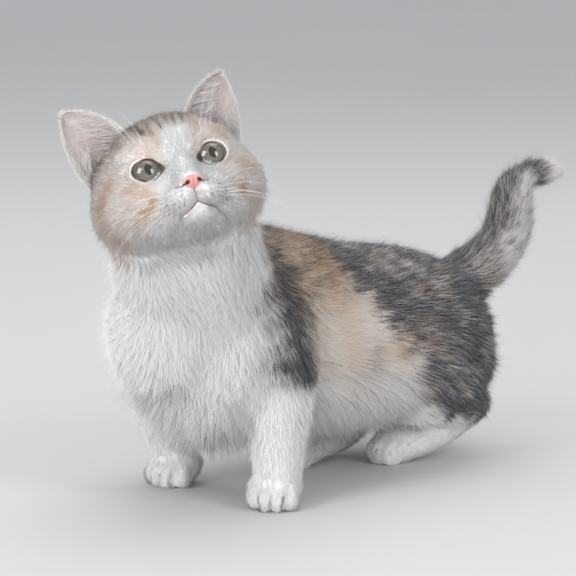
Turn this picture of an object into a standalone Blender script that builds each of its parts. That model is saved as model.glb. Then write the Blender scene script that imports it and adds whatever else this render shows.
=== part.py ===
"""A munchkin kitten with white, grey tabby and ginger patches, standing with its head turned up to its left.

Life size, in the kitten's own frame: +Z up, it faces -Y, and its left side is +X. The surface is the
outside of the coat. The whole animal is modelled from rounded forms, fused, and parted with thin cuts.
"""

import math
import random

import bmesh
import bpy
import numpy as np
from mathutils import Euler, Matrix, Vector
from mathutils.bvhtree import BVHTree

MM = 0.001
GAP = 0.3  # millimetres between pieces that meet

# Head: the place of the middle between the eyes and the head's turn, in the kitten's frame.
BETWEEN_EYES = (30.6, -114.0, 157.2)
HEAD_YAW, HEAD_PITCH, HEAD_ROLL = 56.4, 24.0, 14.2  # degrees: to its left, up, and over to its right
EYE_RADIUS = 8.8
EYE_SIDE = 14.5  # from the middle of the face to the middle of an eye
EYE_DEPTH = 7.6  # from the face's front at the eyes to the middle of the eyeball
EYE_OPENING = (7.0, 5.9)  # half the width and half the height between the lids
LID_THICKNESS = 1.3
NOSE_FRONT = -14.0  # ahead of the eyes, in the head's own frame
NOSE_HEIGHT = -12.4

# Ears, in the head's own frame, for the left side.
EAR_INNER_ROOT = (12.5, 20.5, 24.5)
EAR_OUTER_ROOT = (35.5, 31.0, 7.0)
EAR_TIP = (35.8, 25.5, 43.5)
EAR_CUP_DEPTH = 8.0
EAR_THICKNESS = 2.4
EAR_ROOT_SUNK = 0.42  # how far the ear goes on into the head, as a share of its height

# Draws for the locks, and how near a lock may come to a cut between pieces, in millimetres.
BODY_SEED, RUFF_SEED = 7, 11
CUT_MARGIN = 1.0

# Mesh fineness.
BODY_VOXEL, HEAD_VOXEL = 1.3, 0.8
LIMB_SMOOTHING, LAST_SMOOTHING = 34, 2  # rounds
BODY_TRIANGLES, HEAD_TRIANGLES = 4150, 2950


def turned(yaw, pitch, roll):
    """The matrix whose columns are the left, back and up of a head turned that many degrees."""
    yaw, pitch, roll = (math.radians(x) for x in (yaw, pitch, roll))
    ahead = Vector((math.sin(yaw) * math.cos(pitch), -math.cos(yaw) * math.cos(pitch), math.sin(pitch)))
    level_left = Vector((math.cos(yaw), math.sin(yaw), 0))
    level_up = level_left.cross(-ahead)
    left = math.cos(roll) * level_left + math.sin(roll) * level_up
    up = -math.sin(roll) * level_left + math.cos(roll) * level_up
    return Matrix((left, -ahead, up)).transposed().to_4x4()


HEAD = Matrix.Translation(BETWEEN_EYES) @ turned(HEAD_YAW, HEAD_PITCH, HEAD_ROLL)


def in_head(point):
    """A place given in the head's own frame, in the kitten's frame."""
    return HEAD @ Vector(point)


def smooth_path(stations, steps=4):
    """Rows of numbers eased through the given rows by a Catmull-Rom curve."""
    rows = [np.array(s, float) for s in stations]
    rows = [2 * rows[0] - rows[1], *rows, 2 * rows[-1] - rows[-2]]
    eased = []
    for a, b, c, d in zip(rows, rows[1:], rows[2:], rows[3:]):
        slope, bend, twist = c - a, 2 * a - 5 * b + 4 * c - d, 3 * b - a - 3 * c + d
        for t in np.arange(steps) / steps:
            eased.append(b + 0.5 * (slope * t + bend * t**2 + twist * t**3))
    return [*eased, rows[-2]]


def ring(bm, centre, along, up_hint, half_width, half_height, sides):
    """An elliptical loop of edges square to along. Half width is sideways, half height towards the hint."""
    across = along.cross(up_hint).normalized()
    upright = across.cross(along).normalized()
    frame = Matrix((across * half_width, upright * half_height, along)).transposed().to_4x4()
    made = bmesh.ops.create_circle(bm, segments=sides, radius=1, matrix=Matrix.Translation(centre) @ frame)
    return list({e for v in made["verts"] for e in v.link_edges})


def add_limb(bm, stations, up_hint=(0, 0, 1), sides=20, cap_rings=3):
    """A closed tube with round ends through stations of (x, y, z, half width, half height)."""
    rows = smooth_path(stations)
    places = [Vector(r[:3]) for r in rows]
    last = len(rows) - 1
    along = [(places[min(i + 1, last)] - places[max(i - 1, 0)]).normalized() for i in range(last + 1)]
    loops = []
    for end, outward in ((0, -along[0]), (last, along[last])):
        reach = 0.8 * min(rows[end][3:5])
        cap = []
        for k in range(1, cap_rings + 1):
            angle = math.radians(88 * k / cap_rings)
            middle = places[end] + outward * reach * math.sin(angle)
            cap.append((middle, along[end], rows[end][3:5] * math.cos(angle)))
        loops.append(cap)
    body = [(places[i], along[i], rows[i][3:5]) for i in range(last + 1)]
    whole = [*reversed(loops[0]), *body, *loops[1]]
    hint = Vector(up_hint)
    rings = [ring(bm, c, a, hint, h[0], h[1], sides) for c, a, h in whole]
    for first, second in zip(rings, rings[1:]):
        bmesh.ops.bridge_loops(bm, edges=first + second)
    bmesh.ops.edgeloop_fill(bm, edges=rings[0])
    bmesh.ops.edgeloop_fill(bm, edges=rings[-1])


def add_ball(bm, centre, radii, frame=Matrix.Identity(4), tilt=(0, 0, 0)):
    """A rounded form of three half sizes, turned by tilt degrees in the frame that its centre is given in."""
    turn = Euler([math.radians(t) for t in tilt]).to_matrix().to_4x4()
    matrix = frame @ Matrix.Translation(centre) @ turn @ Matrix.Diagonal((*radii, 1))
    bmesh.ops.create_icosphere(bm, subdivisions=3, radius=1, matrix=matrix)


def new_object(name, bm):
    """An object in metres from a bmesh in millimetres."""
    bmesh.ops.scale(bm, vec=(MM, MM, MM), verts=bm.verts)
    bmesh.ops.recalc_face_normals(bm, faces=bm.faces)
    mesh = bpy.data.meshes.new(name)
    bm.to_mesh(mesh)
    bm.free()
    made = bpy.data.objects.new(name, mesh)
    bpy.context.scene.collection.objects.link(made)
    return made


def remove(*objects):
    for obj in objects:
        bpy.data.objects.remove(obj)


def applied(obj):
    """The object with its modifiers turned into mesh."""
    bpy.context.view_layer.update()
    graph = bpy.context.evaluated_depsgraph_get()
    obj.data = bpy.data.meshes.new_from_object(obj.evaluated_get(graph))
    obj.modifiers.clear()
    return obj


def fused(obj, voxel, smoothing):
    """One closed skin over all the forms in obj, softened where they meet."""
    remesh = obj.modifiers.new("fuse", "REMESH")
    remesh.mode = "VOXEL"
    remesh.voxel_size = voxel * MM
    soften = obj.modifiers.new("soften", "SMOOTH")
    soften.factor = 0.5
    soften.iterations = smoothing
    return applied(obj)


def thinned(obj, triangles):
    """obj with about that many triangles."""
    obj.data.calc_loop_triangles()
    thin = obj.modifiers.new("thin", "DECIMATE")
    thin.ratio = triangles / len(obj.data.loop_triangles)
    return applied(obj)


def combined(obj, others, operation, solver="EXACT"):
    """obj with the other closed meshes joined to it or cut from it, and the others removed."""
    tools = bpy.data.collections.new("tools")
    bpy.context.scene.collection.children.link(tools)
    for other in others:
        tools.objects.link(other)
        bpy.context.scene.collection.objects.unlink(other)
    boolean = obj.modifiers.new("combine", "BOOLEAN")
    boolean.operation = operation
    boolean.operand_type = "COLLECTION"
    boolean.collection = tools
    boolean.solver = solver
    applied(obj)
    remove(*others)
    bpy.data.collections.remove(tools)
    return obj


def grown(obj, distance):
    """A copy of obj with its surface moved outward by that many millimetres."""
    larger = obj.copy()
    larger.data = obj.data.copy()
    bpy.context.scene.collection.objects.link(larger)
    push = larger.modifiers.new("push", "DISPLACE")
    push.strength = distance * MM
    push.mid_level = 0
    return applied(larger)


def loose_pieces(obj):
    """The object's separate closed surfaces, each as (volume, middle, faces), largest first."""
    bm = bmesh.new()
    bm.from_mesh(obj.data)
    bm.faces.ensure_lookup_table()
    left, found = set(bm.faces), []
    while left:
        stack, shell = [left.pop()], []
        while stack:
            face = stack.pop()
            shell.append(face)
            for edge in face.edges:
                for near in edge.link_faces:
                    if near in left:
                        left.remove(near)
                        stack.append(near)
        volume = sum(f.calc_center_median().dot(f.normal) * f.calc_area() for f in shell) / 3
        points = {v for f in shell for v in f.verts}
        middle = sum((v.co for v in points), Vector()) / len(points)
        found.append((volume, middle, [f.index for f in shell]))
    bm.free()
    return sorted(found, key=lambda p: -p[0])


def piece_of(name, source, faces):
    """A new object holding only those faces of the source."""
    bm = bmesh.new()
    bm.from_mesh(source.data)
    bm.faces.ensure_lookup_table()
    wanted = {bm.faces[i] for i in faces}
    bmesh.ops.delete(bm, geom=[f for f in bm.faces if f not in wanted], context="FACES")
    mesh = bpy.data.meshes.new(name)
    bm.to_mesh(mesh)
    bm.free()
    made = bpy.data.objects.new(name, mesh)
    bpy.context.scene.collection.objects.link(made)
    return made


def largest_only(obj):
    """obj without loose scraps and sealed hollows."""
    name = obj.name
    faces = loose_pieces(obj)[0][2]
    kept = piece_of(name, obj, faces)
    remove(obj)
    kept.name = name
    return kept


def plate(centre, normal, half_size, thickness=GAP, side_hint=(0, 0, 1)):
    """A thin square plate that parts what it crosses."""
    bm = bmesh.new()
    normal = Vector(normal).normalized()
    across = normal.cross(Vector(side_hint)).normalized()
    frame = Matrix((across * half_size[0], normal.cross(across) * half_size[1], normal * thickness / 2))
    matrix = Matrix.Translation(centre) @ frame.transposed().to_4x4()
    bmesh.ops.create_cube(bm, size=2, matrix=matrix)
    return new_object("plate", bm)


def thin_dome(centre, radii, tilt, floor):
    """A thin hollow egg above the level floor, which parts what is inside it from what is outside."""
    outer = ball_object("dome", centre, radii, Matrix.Identity(4), tilt)
    inner = ball_object("dome_inside", centre, [r - GAP for r in radii], Matrix.Identity(4), tilt)
    return combined(outer, [inner, half_space((0, 0, floor), (0, 0, -1), 400)], "DIFFERENCE")


def ball_object(name, centre, radii, frame=HEAD, tilt=(0, 0, 0), fine=3):
    bm = bmesh.new()
    turn = Euler([math.radians(t) for t in tilt]).to_matrix().to_4x4()
    matrix = frame @ Matrix.Translation(centre) @ turn @ Matrix.Diagonal((*radii, 1))
    bmesh.ops.create_icosphere(bm, subdivisions=fine, radius=1, matrix=matrix)
    return new_object(name, bm)


# Trunk and neck: x, y, z of the middle, half width, half height.
TRUNK = [
    (-4, -91, 83, 29, 32),
    (-5, -81, 81, 39, 41),
    (-5, -67, 78, 45, 47),
    (-6, -42, 76, 46, 46),
    (-5, -14, 70, 46, 45),
    (-3, 14, 66, 46, 43),
    (0, 42, 64, 44, 41),
    (4, 60, 63, 40, 37.5),
    (8, 74, 62, 34, 32),
    (10, 83, 60, 24, 23),
]
NECK = [(-4, -63, 84, 40, 38), (0, -77, 102, 37.5, 36.5), (6, -90, 122, 35, 33.5), (11, -99, 142, 31, 31)]

# Legs: the same five numbers. Half width is across the leg, half height fore and aft.
FORELEG = {
    "left": [
        (22, -50, 82, 20, 26),
        (28, -54, 62, 18, 21),
        (32, -57, 44, 15, 16.5),
        (34.5, -60, 26, 13, 13.5),
        (35.5, -61, 12, 12.6, 12.6),
    ],
    "right": [
        (-28, -54, 82, 20, 26),
        (-36, -59, 62, 19, 21),
        (-39, -62, 44, 16.5, 16.5),
        (-34.5, -62, 26, 13, 13.2),
        (-30, -61, 12, 12, 12.4),
    ],
}
THIGH = {
    "left": [(22, 62, 66, 22, 22), (26, 62, 50, 22, 27), (28, 48, 38, 17, 20), (28, 36, 33, 12, 13)],
    "right": [(-13, 62, 66, 22, 22), (-20, 59, 50, 22, 27), (-27, 44, 38, 17, 20), (-29, 31, 33, 12, 13)],
}
SHANK = {
    "left": [(28, 38, 31, 12, 12), (29, 58, 30, 13, 14), (29, 76, 29, 10.5, 11)],
    "right": [(-28, 32, 31, 12, 12), (-27, 46, 29, 12, 13), (-23, 57, 25, 10, 11)],
}
FOOT = {
    "left": [(28, 79, 27, 10, 10.5), (24, 68, 18, 9.5, 9.5), (19, 56, 11, 9.5, 9), (14, 47, 8.5, 11, 9)],
    "right": [(-22, 56, 22, 9.5, 10), (-19, 42, 13, 9.5, 9.5), (-17, 26, 9, 9.5, 9), (-16, 12, 8.5, 11, 9)],
}
TAIL = [
    (8, 70, 74, 17, 17),
    (14, 80, 82, 15, 15),
    (19, 92, 89, 13.5, 14),
    (21, 104, 98, 12.5, 13),
    (20.5, 112, 109, 12, 12.5),
    (18, 117, 120, 10.5, 11.5),
    (17, 124, 129, 9, 9.5),
    (19, 134, 133.5, 7.5, 7.5),
    (21, 142, 134, 6, 6),
]

# Paws: the place of the middle of the sole, the way that the toes point, and the half width of the paw.
PAWS = {
    "forepaw_left": (35.5, -62.5, 36, 12.2),
    "forepaw_right": (-29.5, -62.5, 14, 11.8),
    "hind_paw_left": (11, 43, -24, 11),
    "hind_paw_right": (-16, 6, -4, 11),
}
SOLE_SUNK = 1.6  # how far the rounded soles reach below the floor before they are cut flat


def add_paw(bm, x, y, heading, half_width):
    """A pad of four toes, the outer two set back, over a round palm."""
    frame = Matrix.Translation((x, y, 0)) @ Matrix.Rotation(math.radians(heading), 4, "Z")
    add_ball(bm, (0, 1, 9), (half_width, 12, 9 + SOLE_SUNK), frame)
    for across, ahead, size in ((-0.66, 6.0, 0.88), (-0.24, 9.5, 1.0), (0.24, 9.5, 1.0), (0.66, 6.0, 0.88)):
        toe = (across * half_width, -ahead + 1.5, 5.6)
        add_ball(bm, toe, (4.3 * size, 6.6, 5.6 + SOLE_SUNK), frame, tilt=(0, 0, across * 22))


def make_body():
    """The whole animal as one skin: trunk, limbs and tail softened into each other, then paws and head."""
    bm = bmesh.new()
    add_limb(bm, TRUNK)
    add_limb(bm, NECK, up_hint=(0, -1, 0.4))
    add_limb(bm, TAIL, up_hint=(1, 0, 0))
    for side in ("left", "right"):
        add_limb(bm, FORELEG[side], up_hint=(0, -1, 0))
        add_limb(bm, THIGH[side], up_hint=(0, -1, 0.2))
        add_limb(bm, SHANK[side])
        add_limb(bm, FOOT[side])
    limbs = fused(new_object("limbs", bm), BODY_VOXEL, LIMB_SMOOTHING)
    bm = bmesh.new()
    bm.from_mesh(limbs.data)
    bmesh.ops.scale(bm, vec=(1 / MM,) * 3, verts=bm.verts)
    remove(limbs)
    for x, y, heading, half_width in PAWS.values():
        add_paw(bm, x, y, heading, half_width)
    head_skin(bm, 5)
    return thinned(fused(new_object("body", bm), BODY_VOXEL, LAST_SMOOTHING), BODY_TRIANGLES)


# The head's rounded forms in its own frame: middle and half sizes. Those to the side are made on both sides.
HEAD_BROAD = [
    ((0, 30, 1), (35, 32, 29)),  # cranium
    ((0, 12, 8), (21, 13, 16)),  # forehead
    ((17.5, 23, -10), (21.8, 23, 19)),  # cheeks
    ((10.5, 9, -17.5), (14, 13.5, 11)),  # jowls
    ((0, 16, -21), (18, 18, 12)),  # throat
]
HEAD_FINE = [
    ((14, 6.5, 9), (10.5, 7, 4.5)),  # brows
    ((15.5, 6.5, -8), (11, 7, 5.5)),  # below the eyes
    ((0, 0.5, -4), (4.8, 7.5, 8)),  # bridge of the nose
    ((0, -3, -10), (5.4, 8, 5)),  # end of the bridge
    ((0, -9.8, -12.4), (3.4, 3.7, 2.4)),  # nose leather
    ((6.6, -3.6, -17.6), (7.4, 8.2, 5.8)),  # whisker pads
    ((0, -1, -25.5), (7.4, 8, 4.6)),  # chin
]
BROAD_BLEND, FINE_BLEND = 3.2, 1.7
HEAD_HUB = (0, 20, -4)  # every part of the head is in sight from here


def depth_in(forms, blend, points):
    """How far outside the blended forms each point is, in millimetres, below nought inside."""
    total = np.zeros(len(points))
    for centre, radii in forms:
        for side in (1, -1) if centre[0] else (1,):
            offset = points - np.array((side * centre[0], centre[1], centre[2]))
            near = np.linalg.norm(offset / radii, axis=1)
            steep = np.linalg.norm(offset / np.square(radii), axis=1) + 1e-9
            total += np.exp(-np.clip(near * (near - 1) / steep / blend, -60, 60))
    return -blend * np.log(total + 1e-30)


def outside_head(points):
    broad = depth_in(HEAD_BROAD, BROAD_BLEND, points)
    fine = depth_in(HEAD_FINE, FINE_BLEND, points)
    low, high = np.minimum(broad, fine), np.maximum(broad, fine)
    return low - FINE_BLEND * np.log1p(np.exp(-np.clip((high - low) / FINE_BLEND, 0, 60)))


def head_skin(bm, fine):
    """The blended head as one closed mesh: a ball whose points are drawn in from outside onto the forms."""
    made = bmesh.ops.create_icosphere(bm, subdivisions=fine, radius=1)["verts"]
    ways = np.array([v.co.normalized() for v in made])
    hub = np.array(HEAD_HUB, float)
    reach = np.full(len(ways), 70.0)
    outside = np.full(len(ways), True)
    while outside.any():
        outside[outside] = outside_head(hub + ways[outside] * reach[outside, None]) > 0
        reach[outside] -= 0.4
    low, high = reach.copy(), reach + 0.4
    for _ in range(6):
        middle = (low + high) / 2
        out = outside_head(hub + ways * middle[:, None]) > 0
        low, high = np.where(out, low, middle), np.where(out, middle, high)
    for vert, way, distance in zip(made, ways, low):
        vert.co = HEAD @ Vector(hub + way * distance)


NECK_CUT = ((5, 47, -20), (0, 0.62, -0.78))  # in the head's frame: a point of the cut and the way to the body


def half_space(point, normal, size=200):
    """A block that covers everything on the normal's side of the point."""
    bm = bmesh.new()
    normal = Vector(normal).normalized()
    turn = normal.to_track_quat("Z", "Y").to_matrix().to_4x4()
    bmesh.ops.create_cube(bm, size=size, matrix=Matrix.Translation(Vector(point) + normal * size / 2) @ turn)
    return new_object("block", bm)


def neck_cut(towards_body):
    """The block on one side of the cut between the head and the neck, half a gap away from it."""
    normal = HEAD.to_3x3() @ Vector(NECK_CUT[1]).normalized()
    point = in_head(NECK_CUT[0])
    way = 1 if towards_body else -1
    return half_space(point - normal * way * GAP / 2, normal * way)


def on_surface(tree, point, direction):
    """Where a line from the point, against the direction, meets the surface."""
    hit = tree.ray_cast(point + direction * 0.03, -direction)[0]
    return hit if hit is not None else tree.find_nearest(point)[0]


def lip_line():
    """The groove from the nose down the lip and back to both corners of the mouth, in the head's frame."""
    down = [(0, -13), (0, -15.5), (0, -18.2), (0, -20)]
    corner = [(0, -20), (2.2, -21.6), (4.8, -22.6), (7.6, -23), (10.5, -23)]
    return [down, corner, [(-x, z) for x, z in corner]]


def groove(tree, line, radius):
    """A thin round tube laid along the head's surface, for cutting."""
    ahead = (HEAD.to_3x3() @ Vector((0, -1, 0))).normalized()
    curve = bpy.data.curves.new("groove", "CURVE")
    curve.dimensions = "3D"
    curve.bevel_depth = radius * MM
    curve.bevel_resolution = 1
    curve.use_fill_caps = True
    spline = curve.splines.new("POLY")
    spline.points.add(len(line) - 1)
    for knot, (x, z) in zip(spline.points, line):
        place = on_surface(tree, in_head((x, 0, z)) * MM, ahead)
        knot.co = (*place, 1)
    path = bpy.data.objects.new("groove", curve)
    bpy.context.scene.collection.objects.link(path)
    bpy.context.view_layer.update()
    mesh = bpy.data.meshes.new_from_object(path.evaluated_get(bpy.context.evaluated_depsgraph_get()))
    remove(path)
    tube = bpy.data.objects.new("groove", mesh)
    bpy.context.scene.collection.objects.link(tube)
    return tube


def lid_ring(side):
    """The rim of both lids: a thin round ring around the opening, lying on the eyeball."""
    bm = bmesh.new()
    around, sides = 20, 6
    eye = Vector((side * EYE_SIDE, EYE_DEPTH, 0))
    rings = []
    for i in range(around):
        angle = 2 * math.pi * i / around
        across, up = EYE_OPENING[0] * math.cos(angle), EYE_OPENING[1] * math.sin(angle)
        depth = math.sqrt(max(EYE_RADIUS**2 - across**2 - up**2, 0))
        rim = Vector((across, -depth, up))
        outward = Vector((across, 0, up)).normalized()
        loop = []
        for j in range(sides):
            turn = 2 * math.pi * j / sides
            offset = outward * math.cos(turn) + Vector((0, -1, 0)) * math.sin(turn)
            loop.append(bm.verts.new(HEAD @ (eye + rim + offset * LID_THICKNESS)))
        rings.append(loop)
    for i in range(around):
        for j in range(sides):
            a, b = rings[i], rings[(i + 1) % around]
            bm.faces.new((a[j], a[(j + 1) % sides], b[(j + 1) % sides], b[j]))
    return new_object("lid", bm)


def make_head():
    bm = bmesh.new()
    head_skin(bm, 6)
    add_limb(bm, NECK, up_hint=(0, -1, 0.4))
    head = thinned(fused(new_object("head", bm), HEAD_VOXEL, LAST_SMOOTHING), HEAD_TRIANGLES)
    combined(head, [lid_ring(1), lid_ring(-1)], "UNION")
    tree = BVHTree.FromObject(head, bpy.context.evaluated_depsgraph_get())
    cutters = [groove(tree, line, 0.75) for line in lip_line()]
    for side in (1, -1):
        eye = (side * EYE_SIDE, EYE_DEPTH, 0)
        socket = EYE_RADIUS + GAP
        cutters.append(ball_object("socket", eye, (socket, socket, socket)))
        opening = (side * EYE_SIDE, -3.5, 0)
        cutters.append(ball_object("opening", opening, (EYE_OPENING[0], 6.5, EYE_OPENING[1])))
        nostril = (side * 2.4, NOSE_FRONT + 1.4, NOSE_HEIGHT - 0.8)
        tilt = (0, side * 25, side * 30)
        cutters.append(ball_object("nostril", nostril, (1.2, 2.0, 0.8), tilt=tilt, fine=2))
    cutters.append(neck_cut(towards_body=True))
    combined(head, cutters, "DIFFERENCE")
    return largest_only(head)


def make_eye(name, side):
    return ball_object(name, (side * EYE_SIDE, EYE_DEPTH, 0), (EYE_RADIUS,) * 3, fine=3)


def make_ear(name, side, head):
    """A thin cupped triangle with a round tip, its hollow ahead, cut clear of the head at its root."""
    inner, outer, tip = (Vector((side * p[0], p[1], p[2])) for p in (EAR_INNER_ROOT, EAR_OUTER_ROOT, EAR_TIP))
    root = (inner + outer) / 2
    across = (outer - inner).normalized()
    height = (tip - root).length
    upward = (tip - root).normalized()
    backward = upward.cross(across).normalized() * side
    rows, columns = 9, 10
    bm = bmesh.new()
    faces = []
    for layer in (0, 1):
        grid = []
        for i in range(rows + 1):
            s = -EAR_ROOT_SUNK + (1 + EAR_ROOT_SUNK) * i / rows
            risen = max(s, 0)
            spread = 0.5 * (outer - inner).length * (1 - risen**2.6) ** 0.75
            spread = max(spread, 2.0) * (1 + 0.25 * min(s, 0))
            cup = EAR_CUP_DEPTH * (1 - risen) ** 0.7 + 0.8
            line = []
            for j in range(columns + 1):
                t = 2 * j / columns - 1
                middle = root + upward * height * s + across * spread * t
                hollow = cup * (1 - t * t)
                wall = EAR_THICKNESS * (0.45 + 0.55 * (1 - t * t)) * (1 - 0.35 * risen)
                place = middle + backward * (hollow + (wall if layer else 0))
                line.append(bm.verts.new(HEAD @ place))
            grid.append(line)
        faces.append(grid)
    front, back = faces
    for i in range(rows):
        for j in range(columns):
            bm.faces.new((front[i][j], front[i + 1][j], front[i + 1][j + 1], front[i][j + 1]))
            bm.faces.new((back[i][j], back[i][j + 1], back[i + 1][j + 1], back[i + 1][j]))
        for j in (0, columns):
            bm.faces.new((front[i][j], back[i][j], back[i + 1][j], front[i + 1][j]))
    for i in (0, rows):
        for j in range(columns):
            bm.faces.new((front[i][j], front[i][j + 1], back[i][j + 1], back[i][j]))
    return largest_only(combined(new_object(name, bm), [grown(head, GAP)], "DIFFERENCE"))


# Where the body is parted: the middle of each thin plate, its normal, and its half sizes.
PLATES = {
    "neck from chest": ((2, -78, 104), (0.1, -0.5, 1), (70, 70)),
    "chest from belly": ((-4, -22, 70), (0, 1, 0), (80, 80)),
    "belly from rump": ((0, 8, 81), (0, 1, 0), (60, 60)),
    "rump from tail": ((17.5, 88, 86), (0.4, 0.75, 0.5), (34, 30)),
    "tail root from middle": ((20.7, 109, 104), (0, 0.6, 0.8), (22, 22)),
    "tail middle from tip": ((17.3, 122, 126), (0, 0.8, 0.6), (18, 18)),
}
WRIST_HEIGHT = {"left": 14.5, "right": 14.5}
HOCK_HEIGHT = {"left": 21.0, "right": 20.5}
WRISTS = {"left": (35, -62), "right": (-30, -62)}
HOCKS = {"left": (22, 62), "right": (-20, 34)}
LEG_PLATE = {"fore": (25, 25), "hind": (26, 34)}
# Each leg's upper end is an egg: its middle, half sizes, and tilt in degrees.
FORE_EGGS = {
    "left": ((31, -55, 22), (20, 27, 70), (0, -7, 0)),
    "right": ((-35, -57, 22), (22, 27, 70), (0, 3, 0)),
}
HIND_EGGS = {
    "left": ((30, 58, 42), (22, 40, 32), (0, 0, 0)),
    "right": ((-24, 48, 42), (22, 37, 32), (0, 0, 0)),
}

# A point inside each piece, to name it by.
PIECES = {
    "neck": (4, -85, 116),
    "chest": (-5, -60, 80),
    "belly": (-4, -7, 70),
    "rump": (3, 48, 66),
    "tail_root": (19, 96, 92),
    "tail_middle": (19, 116, 115),
    "tail_tip": (19, 135, 133),
    "foreleg_left": (31, -57, 44),
    "foreleg_right": (-34, -59, 44),
    "forepaw_left": (38, -65, 7),
    "forepaw_right": (-30, -65, 7),
    "hind_leg_left": (29, 58, 42),
    "hind_leg_right": (-25, 48, 42),
    "hind_foot_left": (17, 54, 11),
    "hind_foot_right": (-17, 26, 10),
}


def part_body(body):
    """The body cut into its named pieces, each an object of its own."""
    cutters = [plate(*PLATES[where]) for where in PLATES]
    for side in ("left", "right"):
        wrist, hock = WRIST_HEIGHT[side], HOCK_HEIGHT[side]
        cutters.append(plate((*WRISTS[side], wrist), (0, 0, 1), LEG_PLATE["fore"], side_hint=(0, 1, 0)))
        cutters.append(plate((*HOCKS[side], hock), (0, 0, 1), LEG_PLATE["hind"], side_hint=(0, 1, 0)))
        cutters.append(thin_dome(*FORE_EGGS[side], wrist))
        cutters.append(thin_dome(*HIND_EGGS[side], hock))
    combined(body, cutters, "DIFFERENCE")
    found = {}
    for volume, middle, faces in loose_pieces(body):
        name = min(PIECES, key=lambda n: (middle / MM - Vector(PIECES[n])).length)
        if name not in found:
            found[name] = piece_of(name, body, faces)
    remove(body)
    return found


# Where the coat is long, it is built as flat locks in staggered rows. Each group's rows run from one middle
# line point to another; facing is the way out at the middle of a row, and spread is how far round it goes.
# A lock lies along the surface the way that lie points or, where a front is given, hangs that way.
LOCKS = {
    "bib": dict(
        start=(1, -80, 112), end=(-4, -72, 60), facing=(-0.05, -1, 0), spread=92, rows=4, columns=6,
        lie=(0, -0.15, -1), length=20, width=9, lift=0.28,
    ),
    "bib fringe": dict(
        start=(-16, -72, 56), end=(8, -70, 56), facing=(0, -0.35, -1), spread=26, rows=3, columns=2,
        lie=(0, 0.05, -1), length=20, width=9, lift=0.05, front=(0, -1, 0),
    ),
    "belly": dict(
        start=(-4, -14, 52), end=(-3, 36, 50), facing=(0, 0, -1), spread=48, rows=3, columns=3,
        lie=(0, 0.5, -1), length=10, width=9, lift=0.05, front=(1, 0, 0),
    ),
    "left breeches": dict(
        start=(27, 60, 62), end=(28, 62, 36), facing=(0.35, 1, 0), spread=55, rows=3, columns=3,
        lie=(0, 0.45, -1), length=11, width=8, lift=0.25,
    ),
    "right breeches": dict(
        start=(-18, 58, 62), end=(-20, 56, 36), facing=(-0.35, 1, 0), spread=55, rows=3, columns=3,
        lie=(0, 0.45, -1), length=11, width=8, lift=0.25,
    ),
    "root of the tail": dict(
        start=(19, 94, 91), end=(20.5, 104, 99), facing=(1, 0, 0), spread=180, rows=2, columns=4,
        lie=(0.1, 0.6, 0.7), length=13, width=9, lift=0.26,
    ),
    "middle of the tail": dict(
        start=(20, 112, 110), end=(18, 118, 121), facing=(1, 0, 0), spread=180, rows=2, columns=4,
        lie=(-0.1, 0.5, 0.85), length=12, width=8, lift=0.26,
    ),
    "end of the tail": dict(
        start=(17.5, 125, 130), end=(20, 138, 134), facing=(1, 0, 0), spread=180, rows=2, columns=4,
        lie=(0.25, 0.95, 0.05), length=10, width=7, lift=0.22,
    ),
}
# The same for the left cheek, in the head's own frame.
RUFF = dict(
    start=(17, 24, -4), end=(16, 20, -22), facing=(1, 0.5, -0.45), spread=50, rows=3, columns=3,
    lie=(0.35, 0.75, -0.75), length=10, width=8, lift=0.3,
)
LOCK_THICKNESS = 2.0
LOCK_SUNK = 3.5
LOCK_PROFILE = ((0, 0.8, 1), (0.42, 1, 1), (0.78, 0.62, 0.7))  # shares of the length, width and thickness


def lock_path(root, way, out, length, lift, share):
    """A point on a lock's middle line, which leaves the surface and bends over along the coat's lie."""
    start = root - out * LOCK_SUNK
    middle = root + way * length * 0.45 + out * length * lift
    tip = root + way * length + out * length * lift * 0.85
    return start * (1 - share) ** 2 + middle * 2 * share * (1 - share) + tip * share**2


def lock_object(root, way, out, front, length, width, lift):
    """One flat, tapered, closed lock with a ridge along each face, its flat side to the front."""
    bm = bmesh.new()
    rings = []
    for share, wide, thick in LOCK_PROFILE:
        centre = lock_path(root, way, out, length, lift, share)
        onward = (lock_path(root, way, out, length, lift, share + 0.05) - centre).normalized()
        across = onward.cross(front).normalized()
        upright = across.cross(onward).normalized()
        half_wide, half_thick = across * width * wide / 2, upright * LOCK_THICKNESS * thick / 2
        rings.append([bm.verts.new(centre + o) for o in (half_wide, half_thick, -half_wide, -half_thick)])
    tip = bm.verts.new(lock_path(root, way, out, length, lift, 1))
    for first, second in zip(rings, rings[1:]):
        for j in range(4):
            bm.faces.new((first[j], first[(j + 1) % 4], second[(j + 1) % 4], second[j]))
    for j in range(4):
        bm.faces.new((rings[-1][j], rings[-1][(j + 1) % 4], tip))
    bm.faces.new(rings[0])
    return new_object("lock", bm)


def crosses_a_cut(points):
    """Whether a line through the points goes through one of the thin cuts of the body."""
    for centre, normal, half in PLATES.values():
        normal = Vector(normal).normalized()
        heights = [(p - Vector(centre)).dot(normal) for p in points]
        beside = min((p - Vector(centre)).length for p in points) < max(half)
        if beside and min(heights) < CUT_MARGIN and max(heights) > -CUT_MARGIN:
            return True
    for centre, radii, tilt in [*FORE_EGGS.values(), *HIND_EGGS.values()]:
        back = Euler([math.radians(t) for t in tilt]).to_matrix().inverted()
        inside = []
        for p in points:
            local = back @ (p - Vector(centre))
            inside.append(sum((local[i] / radii[i]) ** 2 for i in range(3)) < 1)
        if any(inside) and not all(inside):
            return True
    return False


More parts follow.
